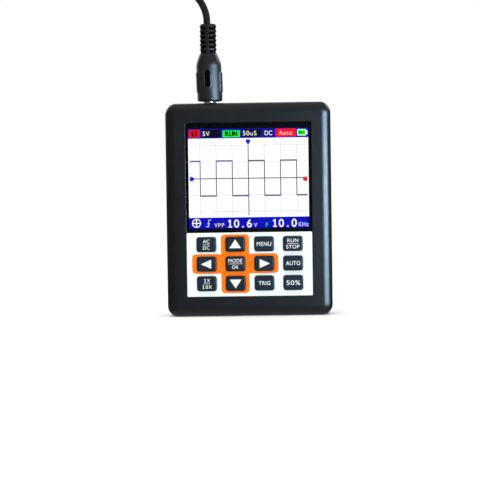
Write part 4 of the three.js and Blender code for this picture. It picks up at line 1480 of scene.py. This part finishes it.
def power_slider():
    """A nub with three thumb ridges across its top, on a flat foot."""
    low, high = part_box("power_switch_slider")
    half = 1.2 * MM
    middle = (low.x + high.x) / 2
    valley, ridge = high.z - 0.32 * MM, 0.3 * MM
    points = [(middle - half, low.z + 1.5 * MM), (middle + half, low.z + 1.5 * MM)]
    for share in spread(0, 1, 24):
        across = half - 2 * half * share
        wave = 0.5 - 0.5 * math.cos(2 * math.pi * 3 * share)
        ends = smooth_step(abs(across), half * 0.99, half * 0.86)
        points.append((middle + across, valley + ridge * wave * ends))
    nub = flat_shape([points], high.y, low.y, 0.1 * MM)
    foot = rounded_rect(high.x - low.x, 1.6 * MM, 0.1 * MM, 3, (middle, low.z + 0.8 * MM))
    mesh = merged(nub, flat_shape([foot], high.y, low.y))
    piece("slider_nub", mesh, DARK_PLASTIC, "power_slider", ["power_switch_slider"])


# ---- CAD nodes that stay, with finished materials ----


def finish_inside():
    """The pieces inside keep their CAD shape and get materials of their own."""
    finishes = {
        "display_tray": TRAY_PLASTIC,
        "display_ribbon": FLEX_FILM,
        "main_board": SOLDER_MASK,
        "processor_chip": DARK_PLASTIC,
        "shield_can": STEEL,
        "battery_cell": FOIL_POUCH,
        "power_switch_body": STEEL,
    }
    for name in ALL_KEYS:
        finishes[f"switch_body_{name}"] = SWITCH_PLASTIC
        finishes[f"switch_plunger_{name}"] = DARK_PLASTIC
    for name, material in finishes.items():
        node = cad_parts[name]
        node.data.materials.clear()
        node.data.materials.append(material)


# ---- Floor, light and camera ----

CAMERA = {"azimuth": 0.2, "elevation": 1.6, "roll": 0.8, "distance": 0.803, "lens": 142.9}
CAMERA_TARGET = Vector((-3.98 * MM, 0, 31.5 * MM))


def studio_floor():
    """A wide pale floor. Away from the object it fades to the brightness of the backdrop."""
    reach = 8.0
    outline = level(circle(reach, 64), 0)
    mesh = mesh_from(lambda work: work.faces.new([work.verts.new(point) for point in outline]))
    shader = Shader("studio_paper")
    paper = shader.blend(shader.noise(2, 4), (0.88, 0.88, 0.88), (0.91, 0.91, 0.91))
    shader.set(Base_Color=paper, Roughness=0.9, Specular_IOR_Level=0.1)
    away = shader.node("ShaderNodeVectorMath", {0: shader.place()}, operation="LENGTH").outputs["Value"]
    bright = shader.node("ShaderNodeEmission", {"Color": (1, 1, 1, 1), "Strength": 1.0}).outputs[0]
    far = shader.ramp(away, 0.15, 0.7)
    shader.feed(shader.output, shader.mixed(far, shader.surface.outputs[0], bright))
    mesh.materials.append(shader.material)
    floor = add_object("studio_floor", mesh)
    floor.visible_glossy = False


def area_light(name, place, target, size, power, colour=(1, 1, 1), diffuse=True, glossy=True):
    data = bpy.data.lights.new(name, "AREA")
    data.shape = "RECTANGLE"
    data.size, data.size_y = size
    data.energy = power
    data.color = colour
    lamp = add_object(name, data)
    lamp.location = place
    lamp.rotation_euler = (Vector(target) - Vector(place)).to_track_quat("-Z", "Y").to_euler()
    lamp.visible_diffuse = diffuse
    lamp.visible_glossy = glossy
    lamp.visible_camera = False


def studio_light():
    """Soft light from above, in front and behind, and three lights that only show as shines.

    Places and sizes are in metres, and powers in watts.
    """
    middle = (0, 0, CASE_HEIGHT / 2)
    area_light("overhead", (0, -0.3, 1.2), middle, (1.2, 1.0), 8, glossy=False)
    area_light("front_fill", (-0.4, -1.4, 0.6), middle, (1.0, 1.0), 6, glossy=False)
    right_edge = (0.03, 0, 0.054)
    cool = (0.5, 0.73, 1)
    area_light("window_shine", (0.282, -0.242, 0.05), right_edge, (0.34, 0.122), 3.9, cool, diffuse=False)
    area_light("back_right_shine", (0.9, 0.9, 0.7), middle, (0.9, 0.6), 5, diffuse=False)
    area_light("back_fill", (-0.5, 1.3, 0.7), middle, (1.0, 1.0), 7)
    area_light("back_left_shine", (-0.9, 1.1, 0.5), middle, (0.5, 0.6), 2.5, diffuse=False)


def studio_world():
    """Pale for the camera and soft for matt surfaces. Shiny surfaces see a room that is dim at eye level."""
    world = bpy.data.worlds.new("studio")
    world.use_nodes = True
    bpy.context.scene.world = world
    nodes = Nodes(world.node_tree)
    nodes.tree.nodes.clear()

    def white(strength):
        return nodes.node("ShaderNodeBackground", {"Color": (1, 1, 1, 1), "Strength": strength}).outputs[0]

    direction = nodes.node("ShaderNodeTexCoord").outputs["Generated"]
    upwards = nodes.node("ShaderNodeSeparateXYZ", {0: direction}).outputs["Z"]
    dim_room = nodes.ramp(nodes.maths("ABSOLUTE", upwards), 0.2, 0.9, 0.03, 0.4)
    rays = nodes.node("ShaderNodeLightPath").outputs
    for_surfaces = nodes.mixed(rays["Is Glossy Ray"], white(0.8), white(dim_room))
    for_all = nodes.mixed(rays["Is Camera Ray"], for_surfaces, white(1.0))
    nodes.node("ShaderNodeOutputWorld", {"Surface": for_all})


def camera():
    """Almost square on to the screen, a touch above it, and rolled slightly."""
    data = bpy.data.cameras.new("camera")
    data.lens = CAMERA["lens"]
    made = add_object("camera", data)
    turn = math.radians(CAMERA["azimuth"])
    rise = math.radians(CAMERA["elevation"])
    back = Vector((math.sin(turn) * math.cos(rise), -math.cos(turn) * math.cos(rise), math.sin(rise)))
    made.location = CAMERA_TARGET + back * CAMERA["distance"]
    aim = (-back).to_track_quat("-Z", "Y").to_matrix().to_4x4()
    roll = Matrix.Rotation(math.radians(-CAMERA["roll"]), 4, "Z")
    made.rotation_euler = (aim @ roll).to_euler()
    bpy.context.scene.camera = made
    bpy.context.scene.view_settings.view_transform = "Standard"


# ---- Build ----

front_shell()
rear_shell()
rear_label()
case_screws()
screen_window()
keypad_sheet()
for key_name in ALL_KEYS:
    key_cap(key_name)
    key_legend(key_name)
display_panel()
screen_background()
graticule()
square_wave()
markers()
status_bar()
readout_bar()
input_jack()
plug_contact()
plug_barrel()
probe_lead()
usb_socket()
charge_light()
power_slider()
finish_inside()
studio_floor()
studio_light()
studio_world()
camera()
